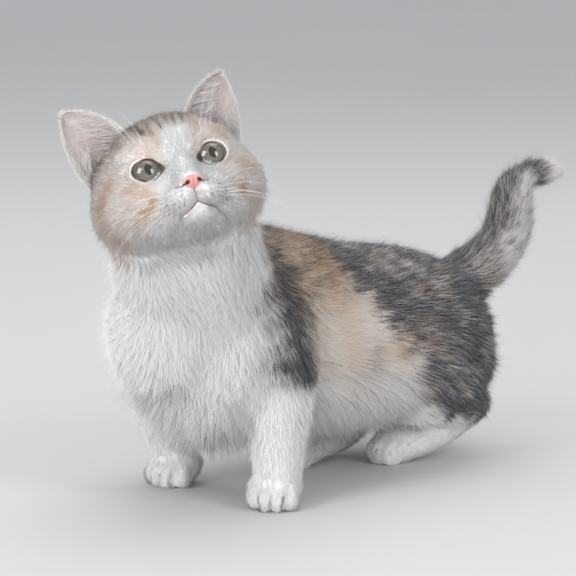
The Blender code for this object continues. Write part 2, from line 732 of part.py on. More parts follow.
def lock_at(root, out, group, turn, dice):
    """The lock rooted there, shortened where a cut would sever it, or None where that isn't enough."""
    lie = (turn @ Vector(group["lie"])).normalized()
    way = lie if "front" in group else (lie - out * lie.dot(out)).normalized()
    front = Vector(group.get("front", out))
    full = group["length"] * dice.uniform(0.85, 1.15)
    for share in (1, 0.75, 0.55):
        line = [lock_path(root, way, out, full * share, group["lift"], t) for t in (0, 0.3, 0.5, 0.75, 1)]
        if not crosses_a_cut(line):
            width = group["width"] * (0.6 + 0.4 * share)
            return lock_object(root, way, out, front, full * share, width, group["lift"])
    return None


def lock_group(obj, group, frame, dice):
    """The locks of one group, rooted on the object's surface."""
    tree = BVHTree.FromObject(obj, bpy.context.evaluated_depsgraph_get())
    turn = frame.to_3x3()
    start, end = (frame @ Vector(group[k]) for k in ("start", "end"))
    axis = (end - start).normalized()
    facing = turn @ Vector(group["facing"])
    facing = (facing - axis * facing.dot(axis)).normalized()
    aside = axis.cross(facing)
    rows, columns, spread = (group[k] for k in ("rows", "columns", "spread"))
    made = []
    for i in range(rows):
        for j in range(columns):
            hub = start.lerp(end, (i + 0.5 + dice.uniform(-0.2, 0.2)) / rows)
            across = (j + 0.25 + 0.5 * (i % 2) + dice.uniform(-0.15, 0.15)) / columns
            angle = math.radians(spread * (2 * across - 1))
            ray = facing * math.cos(angle) + aside * math.sin(angle)
            root, out, _, _ = tree.ray_cast(hub * MM, ray)
            if root is not None:
                made.append(lock_at(root / MM, out if out.dot(ray) > 0 else -out, group, turn, dice))
    return [lock for lock in made if lock]


def mirrored(group):
    """The same group on the right side of the head."""
    flipped = {k: (-group[k][0], *group[k][1:]) for k in ("start", "end", "facing", "lie")}
    return {**group, **flipped}


def add_ruff(head, body):
    """Joins the cheeks' locks to the head, after cutting them clear of the body."""
    dice = random.Random(RUFF_SEED)
    kept = []
    for lock in [*lock_group(head, RUFF, HEAD, dice), *lock_group(head, mirrored(RUFF), HEAD, dice)]:
        combined(lock, [grown(body, 1.5 * GAP)], "DIFFERENCE")
        if lock.data.polygons:
            kept.append(lock)
        else:
            remove(lock)
    return largest_only(combined(head, kept, "UNION"))


def add_body_locks(body):
    dice = random.Random(BODY_SEED)
    made = [lock for group in LOCKS.values() for lock in lock_group(body, group, Matrix.Identity(4), dice)]
    combined(body, made, "UNION")
    return largest_only(body)


COLOURS = {
    "white": (0.80, 0.77, 0.73),
    "cream": (0.62, 0.47, 0.33),
    "grey": (0.16, 0.14, 0.13),
    "ginger": (0.42, 0.29, 0.19),
    "pink": (0.70, 0.36, 0.33),
    "iris": (0.20, 0.22, 0.14),
}
COAT = {"head": "cream", "neck": "white", "chest": "white", "belly": "ginger", "rump": "grey"}


def coloured(obj):
    """Gives the object its one material."""
    name = obj.name
    colour = COAT.get(name, "grey" if name.startswith("tail") else "white")
    colour = "iris" if name.startswith("eye") else "pink" if name.startswith("ear") else colour
    material = bpy.data.materials.new(name)
    material.use_nodes = True
    shader = material.node_tree.nodes["Principled BSDF"]
    shader.inputs["Base Color"].default_value = (*COLOURS[colour], 1)
    shader.inputs["Roughness"].default_value = 0.1 if colour == "iris" else 0.85
    obj.data.materials.clear()
    obj.data.materials.append(material)


def stand_at_origin(objects):
    """Moves the kitten so that the middle of its box is over the origin and its soles are on the floor."""
    corners = [v.co for obj in objects for v in obj.data.vertices]
    low = Vector(min(c[i] for c in corners) for i in range(3))
    high = Vector(max(c[i] for c in corners) for i in range(3))
    shift = Vector((-(low.x + high.x) / 2, -(low.y + high.y) / 2, -low.z))
    for obj in objects:
        obj.data.transform(Matrix.Translation(shift))


def main():
    for obj in list(bpy.data.objects):
        bpy.data.objects.remove(obj)
    head = make_head()
    make_eye("eye_left", 1)
    make_eye("eye_right", -1)
    make_ear("ear_left", 1, head)
    make_ear("ear_right", -1, head)
    body = make_body()
    combined(body, [neck_cut(towards_body=False), half_space((0, 0, 0), (0, 0, -1), 400)], "DIFFERENCE")
    body = add_body_locks(largest_only(body))
    add_ruff(head, body)
    part_body(body)
    nodes = list(bpy.context.scene.collection.objects)
    for obj in nodes:
        coloured(obj)
    stand_at_origin(nodes)


if __name__ == "__main__":
    main()
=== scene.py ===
"""The looks of a munchkin kitten: skin, eyes, nose, mouth, ears, whiskers and a coat of meshed tufts."""

import math

import bmesh
import bpy
import numpy as np
from mathutils import Matrix, Vector
from mathutils.bvhtree import BVHTree
from mathutils.kdtree import KDTree


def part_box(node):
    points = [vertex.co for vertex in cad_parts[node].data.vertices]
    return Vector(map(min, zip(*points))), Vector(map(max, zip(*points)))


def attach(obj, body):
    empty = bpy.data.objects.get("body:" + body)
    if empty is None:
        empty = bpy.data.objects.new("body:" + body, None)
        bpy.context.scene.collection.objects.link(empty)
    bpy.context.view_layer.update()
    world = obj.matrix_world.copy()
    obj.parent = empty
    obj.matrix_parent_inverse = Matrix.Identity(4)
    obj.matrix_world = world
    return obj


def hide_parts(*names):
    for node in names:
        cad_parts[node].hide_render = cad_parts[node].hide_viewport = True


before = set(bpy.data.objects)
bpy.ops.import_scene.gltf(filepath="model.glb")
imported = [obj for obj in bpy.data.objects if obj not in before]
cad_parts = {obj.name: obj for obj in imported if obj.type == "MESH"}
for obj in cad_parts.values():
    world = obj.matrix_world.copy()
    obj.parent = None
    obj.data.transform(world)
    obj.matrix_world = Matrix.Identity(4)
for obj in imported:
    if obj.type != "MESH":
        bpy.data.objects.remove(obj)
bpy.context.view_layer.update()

# The kitten's own frame. It is laid out in millimetres: +Z up, it faces -Y, its left side is +X. The head has
# a frame of its own between the eyes: x to its left, y to its back, z up. The left eyeball's place in the
# model says how far the kitten's frame lies from the model's.
MM = 0.001
BETWEEN_EYES = (30.6, -114.0, 157.2)
HEAD_YAW, HEAD_PITCH, HEAD_ROLL = 56.4, 24.0, 14.2  # degrees: to its left, up, and over to its right
EYE_SIDE, EYE_DEPTH, EYE_RADIUS = 14.5, 7.6, 8.8


def turned(yaw, pitch, roll):
    """The matrix whose columns are the left, back and up of a head turned that many degrees."""
    yaw, pitch, roll = (math.radians(x) for x in (yaw, pitch, roll))
    ahead = Vector((math.sin(yaw) * math.cos(pitch), -math.cos(yaw) * math.cos(pitch), math.sin(pitch)))
    level_left = Vector((math.cos(yaw), math.sin(yaw), 0))
    level_up = level_left.cross(-ahead)
    left = math.cos(roll) * level_left + math.sin(roll) * level_up
    up = -math.sin(roll) * level_left + math.cos(roll) * level_up
    return np.array(Matrix((left, -ahead, up)).transposed())


HEAD_TURN = turned(HEAD_YAW, HEAD_PITCH, HEAD_ROLL)


def from_head(points):
    return np.asarray(points, float) @ HEAD_TURN.T + BETWEEN_EYES


def to_head(points):
    return (np.asarray(points, float) - BETWEEN_EYES) @ HEAD_TURN


SHIFT = np.mean(np.array(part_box("eye_left")), axis=0) - from_head((EYE_SIDE, EYE_DEPTH, 0)) * MM


# The studio. A wide pale floor runs out to a pale surround. A soft light stands high to each side of the
# camera, so that each eye holds two bright windows, a broad one hangs overhead and behind, and one that no
# surface mirrors fills the chest from low in front.
CAMERA_AZIMUTH, CAMERA_HEIGHT_ANGLE, CAMERA_DISTANCE = 45.0, 9.0, 1.2
LOOKED_AT = (26.0, -45.0, 95.0)
LENS, SENSOR = 168.75, 36.0
FLOOR_RADIUS = 6.0
FLOOR_COLOUR, FLOOR_SHADE = (0.60, 0.59, 0.58), 0.97
SURROUND_COLOUR = (0.93, 0.95, 1.0, 1)
SURROUND_STRENGTH = 0.73
LIGHTS = {  # azimuth and height in degrees as seen from the kitten, distance, width, height, watts
    "left_window": (2, 30, 1.5, 0.45, 0.75, 6),
    "right_window": (94, 28, 1.5, 0.45, 0.75, 6.2),
    "low_fill": (22, 7, 1.5, 1.6, 0.36, 15),
    "overhead": (215, 66, 1.5, 1.3, 1.3, 9),
}


def toward(azimuth, height):
    """The level-turned, raised direction from the kitten: azimuth 0 is ahead of it, 90 to its left."""
    a, h = math.radians(azimuth), math.radians(height)
    return Vector((math.sin(a) * math.cos(h), -math.cos(a) * math.cos(h), math.sin(h)))


def deselect():
    if bpy.context.mode != "OBJECT":
        bpy.ops.object.mode_set(mode="OBJECT")
    bpy.ops.object.select_all(action="DESELECT")


looked_at = Vector(np.array(LOOKED_AT) * MM + SHIFT)
back = toward(CAMERA_AZIMUTH, CAMERA_HEIGHT_ANGLE)
deselect()
bpy.ops.object.camera_add(location=looked_at + back * CAMERA_DISTANCE)
camera = bpy.context.object
camera.rotation_euler = back.to_track_quat("Z", "Y").to_euler()
camera.data.lens = LENS
camera.data.sensor_width = SENSOR
camera.data.clip_start = 0.05
bpy.context.scene.camera = camera

for name, (azimuth, height, distance, wide, tall, watts) in LIGHTS.items():
    way = toward(azimuth, height)
    deselect()
    bpy.ops.object.light_add(type="AREA", location=looked_at + way * distance)
    light = bpy.context.object
    light.name = name
    light.rotation_euler = way.to_track_quat("Z", "Y").to_euler()
    light.data.shape = "RECTANGLE"
    light.data.size, light.data.size_y = wide, tall
    light.data.energy = watts
    light.visible_camera = False
    light.visible_glossy = name != "low_fill"

world = bpy.data.worlds.new("surround")
world.use_nodes = True
world.node_tree.nodes["Background"].inputs["Color"].default_value = SURROUND_COLOUR
world.node_tree.nodes["Background"].inputs["Strength"].default_value = SURROUND_STRENGTH
bpy.context.scene.world = world
bpy.context.scene.view_settings.view_transform = "Standard"


class Wire:
    """A socket of a material's nodes. Sums, products and quotients of wires add Math nodes."""

    def __init__(self, tree, socket):
        self.tree, self.socket = tree, socket

    def node(self, kind, settings=None, output=0, **inputs):
        """The output of a new node. A number after "in" is an input's place among them; else its name."""
        made = self.tree.nodes.new("ShaderNode" + kind)
        for key, value in (settings or {}).items():
            if key == "stops":
                for i, (place, colour) in enumerate(value):
                    stop = made.color_ramp.elements[i] if i < 2 else made.color_ramp.elements.new(place)
                    stop.position, stop.color = place, (*colour, 1)
            else:
                setattr(made, key, value)
        for key, value in inputs.items():
            socket = made.inputs[int(key[2:]) if key[:2] == "in" else key.replace("_", " ")]
            if isinstance(value, Wire):
                self.tree.links.new(value.socket, socket)
            else:
                socket.default_value = value
        return Wire(self.tree, made.outputs[output])

    def math(self, operation, *values, clamp=False):
        inputs = {f"in{i}": value for i, value in enumerate(values)}
        return self.node("Math", {"operation": operation, "use_clamp": clamp}, **inputs)

    def __add__(self, other):
        return self.math("ADD", self, other)

    def __sub__(self, other):
        return self.math("SUBTRACT", self, other)

    def __rsub__(self, other):
        return self.math("SUBTRACT", other, self)

    def __mul__(self, other):
        return self.math("MULTIPLY", self, other)

    def __truediv__(self, other):
        return self.math("DIVIDE", self, other)

    __radd__, __rmul__ = __add__, __mul__

    def step(self, low, high):
        """0 below low and 1 above high, eased between."""
        settings = {"interpolation_type": "SMOOTHSTEP"}
        return self.node("MapRange", settings, Value=self, From_Min=low, From_Max=high)

    def mixed(self, first, second):
        """The first colour where this is 0, the second where it is 1."""
        first, second = (c if isinstance(c, Wire) else (*c, 1) for c in (first, second))
        return self.node("Mix", {"data_type": "RGBA"}, output=2, in0=self, in6=first, in7=second)

    def capped(self):
        return self.math("MINIMUM", self, 1.0)

    def part(self, output):
        """Another output of the same node."""
        return Wire(self.tree, self.socket.node.outputs[output])


def new_material(name, **constants):
    """A Principled material with these fixed values, and a wire to build its nodes from."""
    material = bpy.data.materials.new(name)
    material.use_nodes = True
    shader = material.node_tree.nodes["Principled BSDF"]
    for key, value in constants.items():
        shader.inputs[key.replace("_", " ")].default_value = value
    return material, shader, Wire(material.node_tree, None)


def feed(shader, **wires):
    for key, wire in wires.items():
        wire.tree.links.new(wire.socket, shader.inputs[key.replace("_", " ")])


def texture(start, kind="TexNoise", **inputs):
    """A texture that fills the space the object lies in."""
    return start.node(kind, Vector=start.node("TexCoord", output=3), **inputs)


def relief(height, strength, distance):
    return height.node("Bump", Strength=strength, Distance=distance, Height=height)


def floor_material():
    material, shader, start = new_material("floor_paper", Roughness=0.75)
    cloudy = texture(start, Scale=1.3, Detail=3.0)
    colour = cloudy.step(0.3, 0.7).mixed(tuple(c * FLOOR_SHADE for c in FLOOR_COLOUR), FLOOR_COLOUR)
    feed(shader, Base_Color=colour, Normal=relief(texture(start, Scale=900.0, Detail=2.0), 0.05, 0.0002))
    return material


deselect()
bpy.ops.mesh.primitive_circle_add(vertices=96, radius=FLOOR_RADIUS, fill_type="NGON")
floor = bpy.context.object
floor.name = "floor"
floor.data.materials.append(floor_material())


# The body under its coat. The kitten has a long round trunk on short thick legs. The skin lies inside the
# coat by the fur's own depth, so each limb is drawn in by that much. Each row of a limb is x, y, z of its
# middle, half width and half height.
LIMBS = {  # name: up hint, depth of the coat over it, rows
    "trunk": ((0, 0, 1), 3.6, [
        (-4, -91, 83, 29, 32), (-5, -81, 81, 39, 41), (-5, -67, 78, 45, 47), (-6, -42, 76, 46, 46),
        (-5, -14, 70, 46, 45), (-3, 14, 66, 46, 43), (0, 42, 64, 44, 41), (4, 60, 63, 40, 37.5),
        (8, 74, 62, 34, 32), (10, 83, 60, 24, 23),
    ]),
    "neck": ((0, -1, 0.4), 3.6, [
        (-4, -63, 84, 40, 38), (0, -77, 102, 37.5, 36.5), (6, -90, 122, 35, 33.5), (11, -99, 142, 31, 31),
    ]),
    "tail": ((1, 0, 0), 2.6, [
        (8, 70, 74, 17, 17), (14, 80, 82, 15, 15), (19, 92, 89, 13.5, 14), (21, 104, 98, 12.5, 13),
        (20.5, 112, 109, 12, 12.5), (18, 117, 119, 10.5, 11.5), (17, 124, 127, 9, 9.5),
        (19, 133.5, 130.5, 8, 8), (21, 141, 131.5, 7, 7),
    ]),
    "foreleg_left": ((0, -1, 0), 2.4, [
        (22, -50, 82, 20, 26), (28, -54, 62, 18, 21), (32, -57, 44, 15, 16.5), (34.5, -60, 26, 13, 13.5),
        (35.5, -61, 12, 12.6, 12.6),
    ]),
    "foreleg_right": ((0, -1, 0), 2.4, [
        (-28, -54, 82, 20, 26), (-36, -59, 62, 19, 21), (-39, -62, 44, 16.5, 16.5),
        (-34.5, -62, 26, 13, 13.2), (-30, -61, 12, 12, 12.4),
    ]),
    "thigh_left": ((0, -1, 0.2), 3.4, [
        (22, 62, 66, 22, 22), (26, 62, 50, 22, 27), (28, 48, 38, 17, 20), (28, 36, 33, 12, 13),
    ]),
    "thigh_right": ((0, -1, 0.2), 3.4, [
        (-13, 62, 66, 22, 22), (-20, 59, 50, 22, 27), (-27, 44, 38, 17, 20), (-29, 31, 33, 12, 13),
    ]),
    "shank_left": ((0, 0, 1), 2.4, [(28, 38, 31, 12, 12), (29, 58, 30, 13, 14), (29, 76, 29, 10.5, 11)]),
    "shank_right": ((0, 0, 1), 2.4, [(-28, 32, 31, 12, 12), (-27, 46, 29, 12, 13), (-23, 57, 25, 10, 11)]),
    "foot_left": ((0, 0, 1), 1.4, [
        (28, 79, 27, 10, 10.5), (24, 68, 18, 9.5, 9.5), (19, 56, 11, 9.5, 9), (14, 47, 8.5, 11, 9),
    ]),
    "foot_right": ((0, 0, 1), 1.4, [
        (-22, 56, 22, 9.5, 10), (-19, 42, 13, 9.5, 9.5), (-17, 26, 9, 9.5, 9), (-16, 12, 8.5, 11, 9),
    ]),
}
PAWS = {  # middle of the sole, the toes' heading in degrees, half width
    "forepaw_left": (35.5, -62.5, 36, 12.2), "forepaw_right": (-29.5, -62.5, 14, 11.8),
    "hind_paw_left": (11, 43, -24, 11), "hind_paw_right": (-16, 6, -4, 11),
}
TOES = ((-0.66, 6.0, 0.88), (-0.24, 9.5, 1.0), (0.24, 9.5, 1.0), (0.66, 6.0, 0.88))  # across, ahead, size
PAW_DEPTH = 0.9
SKIN_VOXEL, LIMB_SMOOTHING, SKIN_SMOOTHING = 1.4, 30, 2

# The head's rounded forms in its own frame: middle, half sizes, depth of the coat. Those off the middle come
# twice, once to each side.
HEAD_BROAD = [
    ((0, 30, 1), (35, 32, 29), 2.3),  # cranium
    ((0, 12, 8), (21, 13, 16), 1.4),  # forehead
    ((17.5, 23, -10), (21.8, 23, 19), 2.4),  # cheeks
    ((10.5, 9, -17.5), (14, 13.5, 11), 1.6),  # jowls
    ((0, 16, -21), (18, 18, 12), 2.4),  # throat
]
HEAD_FINE = [
    ((14, 6.5, 9), (10.5, 7, 4.5), 0.9),  # brows
    ((15.5, 6.5, -8), (11, 7, 5.5), 0.8),  # below the eyes
    ((0, 0.5, -4), (4.8, 7.5, 8), 0.5),  # bridge of the nose
    ((0, -3, -10), (5.4, 8, 5), 0.5),  # end of the bridge
    ((6.6, -3.6, -17.6), (7.4, 8.2, 5.8), 0.8),  # whisker pads
    ((0, -1, -25.5), (7.4, 8, 4.6), 0.9),  # chin
]
BROAD_BLEND, FINE_BLEND = 3.2, 1.7
HEAD_HUB = (0, 20, -4)  # every part of the head is in sight from here
NECK_CUT = ((5, 47, -20), (0, 0.62, -0.78))  # where the head ends: a point and the way to the body
FACE_BACK, FACE_SIDE, FACE_TOP, FACE_BOTTOM = 13.0, 29.0, 20.0, -33.0  # the finely modelled face
FACE_CUTS = 2


def smooth_path(rows, steps=4):
    """Rows of numbers eased through the given rows by a Catmull-Rom curve."""
    rows = np.array(rows, float)
    rows = [2 * rows[0] - rows[1], *rows, 2 * rows[-1] - rows[-2]]
    eased = []
    for a, b, c, d in zip(rows, rows[1:], rows[2:], rows[3:]):
        slope, bend, twist = c - a, 2 * a - 5 * b + 4 * c - d, 3 * b - a - 3 * c + d
        for t in np.arange(steps) / steps:
            eased.append(b + 0.5 * (slope * t + bend * t**2 + twist * t**3))
    return np.array([*eased, rows[-2]])


def ahead_along(rows):
    """The unit direction of a path at each of its rows."""
    way = np.gradient(rows[:, :3], axis=0)
    return way / np.linalg.norm(way, axis=1)[:, None]


def add_limb(bm, up_hint, depth, rows, sides=20, cap_rings=3):
    """A closed tube with round ends through the rows, drawn in by the coat's depth."""
    rows = smooth_path(rows)
    rows[:, 3:] -= depth
    along = ahead_along(rows)
    whole = [(r[:3], a, r[3:]) for r, a in zip(rows, along)]
    for end, sense in ((0, -1), (-1, 1)):
        reach = 0.8 * rows[end, 3:].min() * sense * along[end]
        cap = []
        for k in range(1, cap_rings + 1):
            angle = math.radians(88 * k / cap_rings)
            cap.append((rows[end, :3] + reach * math.sin(angle), along[end], rows[end, 3:] * math.cos(angle)))
        whole = [*reversed(cap), *whole] if end == 0 else [*whole, *cap]
    loops = []
    for centre, way, half in whole:
        way = Vector(way)
        across = way.cross(Vector(up_hint)).normalized()
        upright = across.cross(way).normalized()
        turn = Matrix((across * half[0], upright * half[1], way)).transposed().to_4x4()
        place = Matrix.Translation(Vector(centre)) @ turn
        made = bmesh.ops.create_circle(bm, segments=sides, radius=1, matrix=place)["verts"]
        loops.append(list({e for v in made for e in v.link_edges}))
    for first, second in zip(loops, loops[1:]):
        bmesh.ops.bridge_loops(bm, edges=first + second)
    for loop in (loops[0], loops[-1]):
        bmesh.ops.edgeloop_fill(bm, edges=loop)


def add_ball(bm, centre, radii, matrix, tilt=0.0):
    """A rounded form of three half sizes in the matrix's frame, turned about its upright."""
    turn = Matrix.Rotation(math.radians(tilt), 4, "Z")
    place = matrix @ Matrix.Translation(centre) @ turn @ Matrix.Diagonal((*radii, 1))
    bmesh.ops.create_icosphere(bm, subdivisions=4, radius=1, matrix=place)


def paw_frame(name):
    x, y, heading, half_width = PAWS[name]
    return Matrix.Translation((x, y, 0)) @ Matrix.Rotation(math.radians(heading), 4, "Z"), half_width


def add_paw(bm, name):
    """Four toes, the outer two set back, over a round palm."""
    place, half_width = paw_frame(name)
    add_ball(bm, (0, 1, 9), (half_width - PAW_DEPTH, 12 - PAW_DEPTH, 9.7), place)
    for across, ahead, size in TOES:
        toe = (across * half_width, -ahead + 1.5, 5.6)
        add_ball(bm, toe, (4.3 * size - 0.5, 6.6 - PAW_DEPTH, 6.4), place, across * 22)


def outside_forms(forms, blend, points):
    """How far outside the blended forms each point is, in millimetres, below nought inside."""
    total = np.zeros(len(points))
    for centre, radii, depth in forms:
        radii = np.array(radii) - depth
        for side in (1, -1) if centre[0] else (1,):
            offset = points - np.array((side * centre[0], centre[1], centre[2]))
            near = np.linalg.norm(offset / radii, axis=1)
            steep = np.linalg.norm(offset / np.square(radii), axis=1) + 1e-9
            total += np.exp(-np.clip(near * (near - 1) / steep / blend, -60, 60))
    return -blend * np.log(total + 1e-30)


def outside_head(points):
    broad = outside_forms(HEAD_BROAD, BROAD_BLEND, points)
    fine = outside_forms(HEAD_FINE, FINE_BLEND, points)
    low, high = np.minimum(broad, fine), np.maximum(broad, fine)
    return low - FINE_BLEND * np.log1p(np.exp(-np.clip((high - low) / FINE_BLEND, 0, 60)))


def on_head(ways):
    """Where rays from the head's hub leave its surface, in the head's frame."""
    hub = np.array(HEAD_HUB, float)
    reach = np.full(len(ways), 66.0)
    outside = np.full(len(ways), True)
    while outside.any():
        outside[outside] = outside_head(hub + ways[outside] * reach[outside, None]) > 0
        reach[outside] -= 0.5
    low, high = reach.copy(), reach + 0.5
    for _ in range(7):
        middle = (low + high) / 2
        out = outside_head(hub + ways * middle[:, None]) > 0
        low, high = np.where(out, low, middle), np.where(out, middle, high)
    return hub + ways * low[:, None]


def field_of(rows, name, width=3, kind=float):
    """One field of a mesh's vertices, edges or the like, as an array of that many columns."""
    values = np.empty(len(rows) * width, kind)
    rows.foreach_get(name, values)
    return values.reshape(-1, width)


def read_points(mesh):
    return field_of(mesh.vertices, "co")


def write_points(mesh, points):
    mesh.vertices.foreach_set("co", np.ascontiguousarray(points, np.float32).ravel())
    mesh.update()


def linked(name, mesh):
    """A new object of the scene with this mesh."""
    made = bpy.data.objects.new(name, mesh)
    bpy.context.scene.collection.objects.link(made)
    return made


def object_from(name, bm):
    mesh = bpy.data.meshes.new(name)
    bmesh.ops.recalc_face_normals(bm, faces=bm.faces)
    bm.to_mesh(mesh)
    bm.free()
    return linked(name, mesh)


def only(obj):
    """Makes obj the one that operators act on."""
    deselect()
    obj.select_set(True)
    bpy.context.view_layer.objects.active = obj


def apply_modifier(obj, kind, **settings):
    only(obj)
    bpy.ops.object.modifier_add(type=kind)
    modifier = obj.modifiers[-1]
    for key, value in settings.items():
        setattr(modifier, key, value)
    bpy.ops.object.modifier_apply(modifier=modifier.name)


bm = bmesh.new()
for up_hint, depth, rows in LIMBS.values():
    add_limb(bm, up_hint, depth, rows)
limbs = object_from("limbs", bm)
apply_modifier(limbs, "REMESH", mode="VOXEL", voxel_size=SKIN_VOXEL)
apply_modifier(limbs, "SMOOTH", factor=0.5, iterations=LIMB_SMOOTHING)
bm = bmesh.new()
bm.from_mesh(limbs.data)
bpy.data.objects.remove(limbs)
for name in PAWS:
    add_paw(bm, name)
ball = bmesh.ops.create_icosphere(bm, subdivisions=6, radius=1)["verts"]
ways = np.array([v.co.normalized() for v in ball])
for vert, place in zip(ball, from_head(on_head(ways))):
    vert.co = place
skin = object_from("skin", bm)
apply_modifier(skin, "REMESH", mode="VOXEL", voxel_size=SKIN_VOXEL)
apply_modifier(skin, "SMOOTH", factor=0.5, iterations=SKIN_SMOOTHING)


def keep_largest(obj):
    """Drops every separate surface of obj but the one with the most faces."""
    only(obj)
    bpy.ops.mesh.separate(type="LOOSE")
    shells = sorted(bpy.context.selected_objects, key=lambda o: -len(o.data.polygons))
    for scrap in shells[1:]:
        bpy.data.objects.remove(scrap)
    return shells[0]


skin = keep_largest(skin)
skin.name = "skin"


def in_face(places):
    x, y, z = places.T
    return (y < FACE_BACK) & (np.abs(x) < FACE_SIDE) & (z < FACE_TOP) & (z > FACE_BOTTOM)


# The face is modelled finer: its faces are subdivided and laid on the head's rounded forms again.
places = to_head(read_points(skin.data))
finer = in_face(places)
only(skin)
skin.data.vertices.foreach_set("select", np.zeros(len(places), bool))
skin.data.edges.foreach_set("select", np.zeros(len(skin.data.edges), bool))
skin.data.polygons.foreach_set("select", [bool(finer[list(p.vertices)].all()) for p in skin.data.polygons])
bpy.ops.object.mode_set(mode="EDIT")
bpy.ops.mesh.select_mode(type="FACE")
bpy.ops.mesh.subdivide(number_cuts=FACE_CUTS)
bpy.ops.object.mode_set(mode="OBJECT")
places = to_head(read_points(skin.data))
finer = in_face(places)
ways = places[finer] - HEAD_HUB
places[finer] = on_head(ways / np.linalg.norm(ways, axis=1)[:, None])


# The lids hug the eyeball all round the opening, and the lips part along one line from the nose.
EYE_OPENING = (5.25, 4.85)  # half the width and half the height between the lids
CORNER_REACH, CORNER_WIDTH, CORNER_DROP = 0.26, 0.36, 0.12  # a share of the opening, and angles in radians
LID_OVER_EYE, SOCKET_IN_EYE = 0.7, 1.5  # the skin's height over the eyeball, and its depth in it
LID_REACH = 1.9  # where the lid's bulge ends, in half openings
LIP_LINE = [(0, -13), (0, -15.5), (0, -18.2), (0, -20)]  # x and z
LIP_CORNER = [(0, -20), (1.8, -21.5), (3.8, -22.8), (5.8, -23.7), (8.0, -24.2)]
LIP_GROOVE = (0.9, 0.7)  # half width, depth


def soft(value, low, high):
    """0 at low and 1 at high, eased between."""
    t = np.clip((value - low) / (high - low), 0, 1)
    return t * t * (3 - 2 * t)


def blended(first, second, share):
    return first * (1 - share) + second * share


def distance_to(points, line):
    """Each point's distance to a line through some places, in as many axes as they have."""
    line = np.array(line, float)
    best = np.full(len(points), 1e9)
    for a, b in zip(line, line[1:]):
        along = np.clip((points - a) @ (b - a) / ((b - a) @ (b - a)), 0, 1)
        best = np.minimum(best, np.linalg.norm(points - a - along[:, None] * (b - a), axis=1))
    return best


def corner_reach(x, z, side):
    """How much further out the lids meet than the oval, towards the nose."""
    angle = np.arctan2(z, -side * x) + CORNER_DROP
    return 1 + CORNER_REACH * np.exp(-((angle / CORNER_WIDTH) ** 2))


def opening_share(head_points, side):
    """How far out from the middle of an eye's opening each point is, 1 at the lids' edge."""
    x, z = head_points[:, 0] - side * EYE_SIDE, head_points[:, 2]
    return np.hypot(x / EYE_OPENING[0], z / EYE_OPENING[1]) / corner_reach(x, z, side)


def near_lips(head_points):
    flat = head_points[:, [0, 2]]
    lines = [LIP_LINE, LIP_CORNER, [(-x, z) for x, z in LIP_CORNER]]
    return np.where(head_points[:, 1] < 8, np.min([distance_to(flat, line) for line in lines], axis=0), 99)


for side in (1, -1):
    share = opening_share(places, side)
    front = places[:, 1] < EYE_DEPTH + 3
    eye_centre = np.array((side * EYE_SIDE, EYE_DEPTH, 0))
    outward = places - eye_centre
    outward = outward / np.maximum(np.linalg.norm(outward, axis=1), 1e-9)[:, None]
    for height, edges in ((LID_OVER_EYE, (LID_REACH, 1.15)), (-SOCKET_IN_EYE, (1.11, 1.0))):
        on_ball = outward * (EYE_RADIUS + height) + eye_centre
        places = blended(places, on_ball, (front * soft(share, *edges))[:, None])
places[:, 1] += LIP_GROOVE[1] * np.exp(-((near_lips(places) / LIP_GROOVE[0]) ** 2))
skin_points = from_head(places)
skin_points[:, 2] = np.maximum(skin_points[:, 2], 0)
write_points(skin.data, skin_points)


# The coat's pattern. A patched tabby with white: the face, bib, legs and feet are white, a ragged black band
# follows the bib, a ginger saddle follows that, and grey tabby covers the loin, rump and tail. Each pattern
# is three shares, of ginger, dark and cream hair, over white; the dark share also carries painted shade in
# creases.
def grain(points, size, seed):
    """A smooth random field of about that wavelength, mostly within -1 to 1."""
    dice = np.random.default_rng(seed)
    total = np.zeros(len(points))
    for _ in range(16):
        way = dice.normal(size=points.shape[1])
        way *= 2 * math.pi / np.linalg.norm(way) / size * dice.uniform(0.7, 1.5)
        total += np.sin(points @ way + dice.uniform(0, 2 * math.pi))
    return total / math.sqrt(16)


def bump(value, middle, width):
    return np.exp(-(((value - middle) / width) ** 2))


MIDLINE_X, RIGHT_SHIFT = -4.0, 4.0  # the right side has the left's pattern, that much further forward
BAND_Z, BAND_Y = (40, 60, 79, 103, 113, 124), (-45, -49, -54, -54, -55, -61)  # the black band behind the bib
GINGER_EDGE = [(-15, 112.4), (-26, 101.5), (-27, 88.8), (-23, 75), (-19, 61), (-12, 40)]  # y and z
TABBY_EDGE = (97.0, -15.0, 1.18)  # height at a y, and how much lower each millimetre further back
NECK_AXIS, NAPE_WAY = ((-4, -64, 84), (11, -99, 142)), (0, 0.86, 0.51)
BLACK_WISPS = [  # strength, width, places: the wisps in which the band runs out over the shoulder
    (1.0, 2.8, [(39, -72, 71), (42, -63, 69), (45, -55, 65)]),
    (0.5, 1.3, [(37, -75, 64), (43, -64, 60.5), (45, -55, 61)]),
]
TAIL_PATH = smooth_path(LIMBS["tail"][2])
TAIL_FRONT = np.array((-0.55, -0.62, 0.45))  # the side of the tail that is dark
GINGER_PATCHES = [  # middle, radius, strength
    ((42, 8, 64), 9, 0.5), ((43, 24, 69), 9, 0.45), ((43, 45, 67), 7, 0.4), ((44, 58, 66), 6, 0.35),
]
GREY_SPOT = ((40, -6.6, 58), (1, 1.3, 0.7), 8, 0.4)  # middle, squash, radius, strength
TAIL_PATCH = ((31, 77, 82), 12)  # ginger, under the tail's root


def tail_share(points):
    """How far along the tail each point is, from 0 to 1, its distance to the tail, and the way out."""
    gaps = np.linalg.norm(points[:, None] - TAIL_PATH[None, :, :3], axis=2)
    nearest = gaps.argmin(axis=1)
    out = points - TAIL_PATH[nearest, :3]
    out /= np.linalg.norm(out, axis=1)[:, None] + 1e-9
    return nearest / (len(TAIL_PATH) - 1), gaps.min(axis=1) - TAIL_PATH[nearest, 3], out


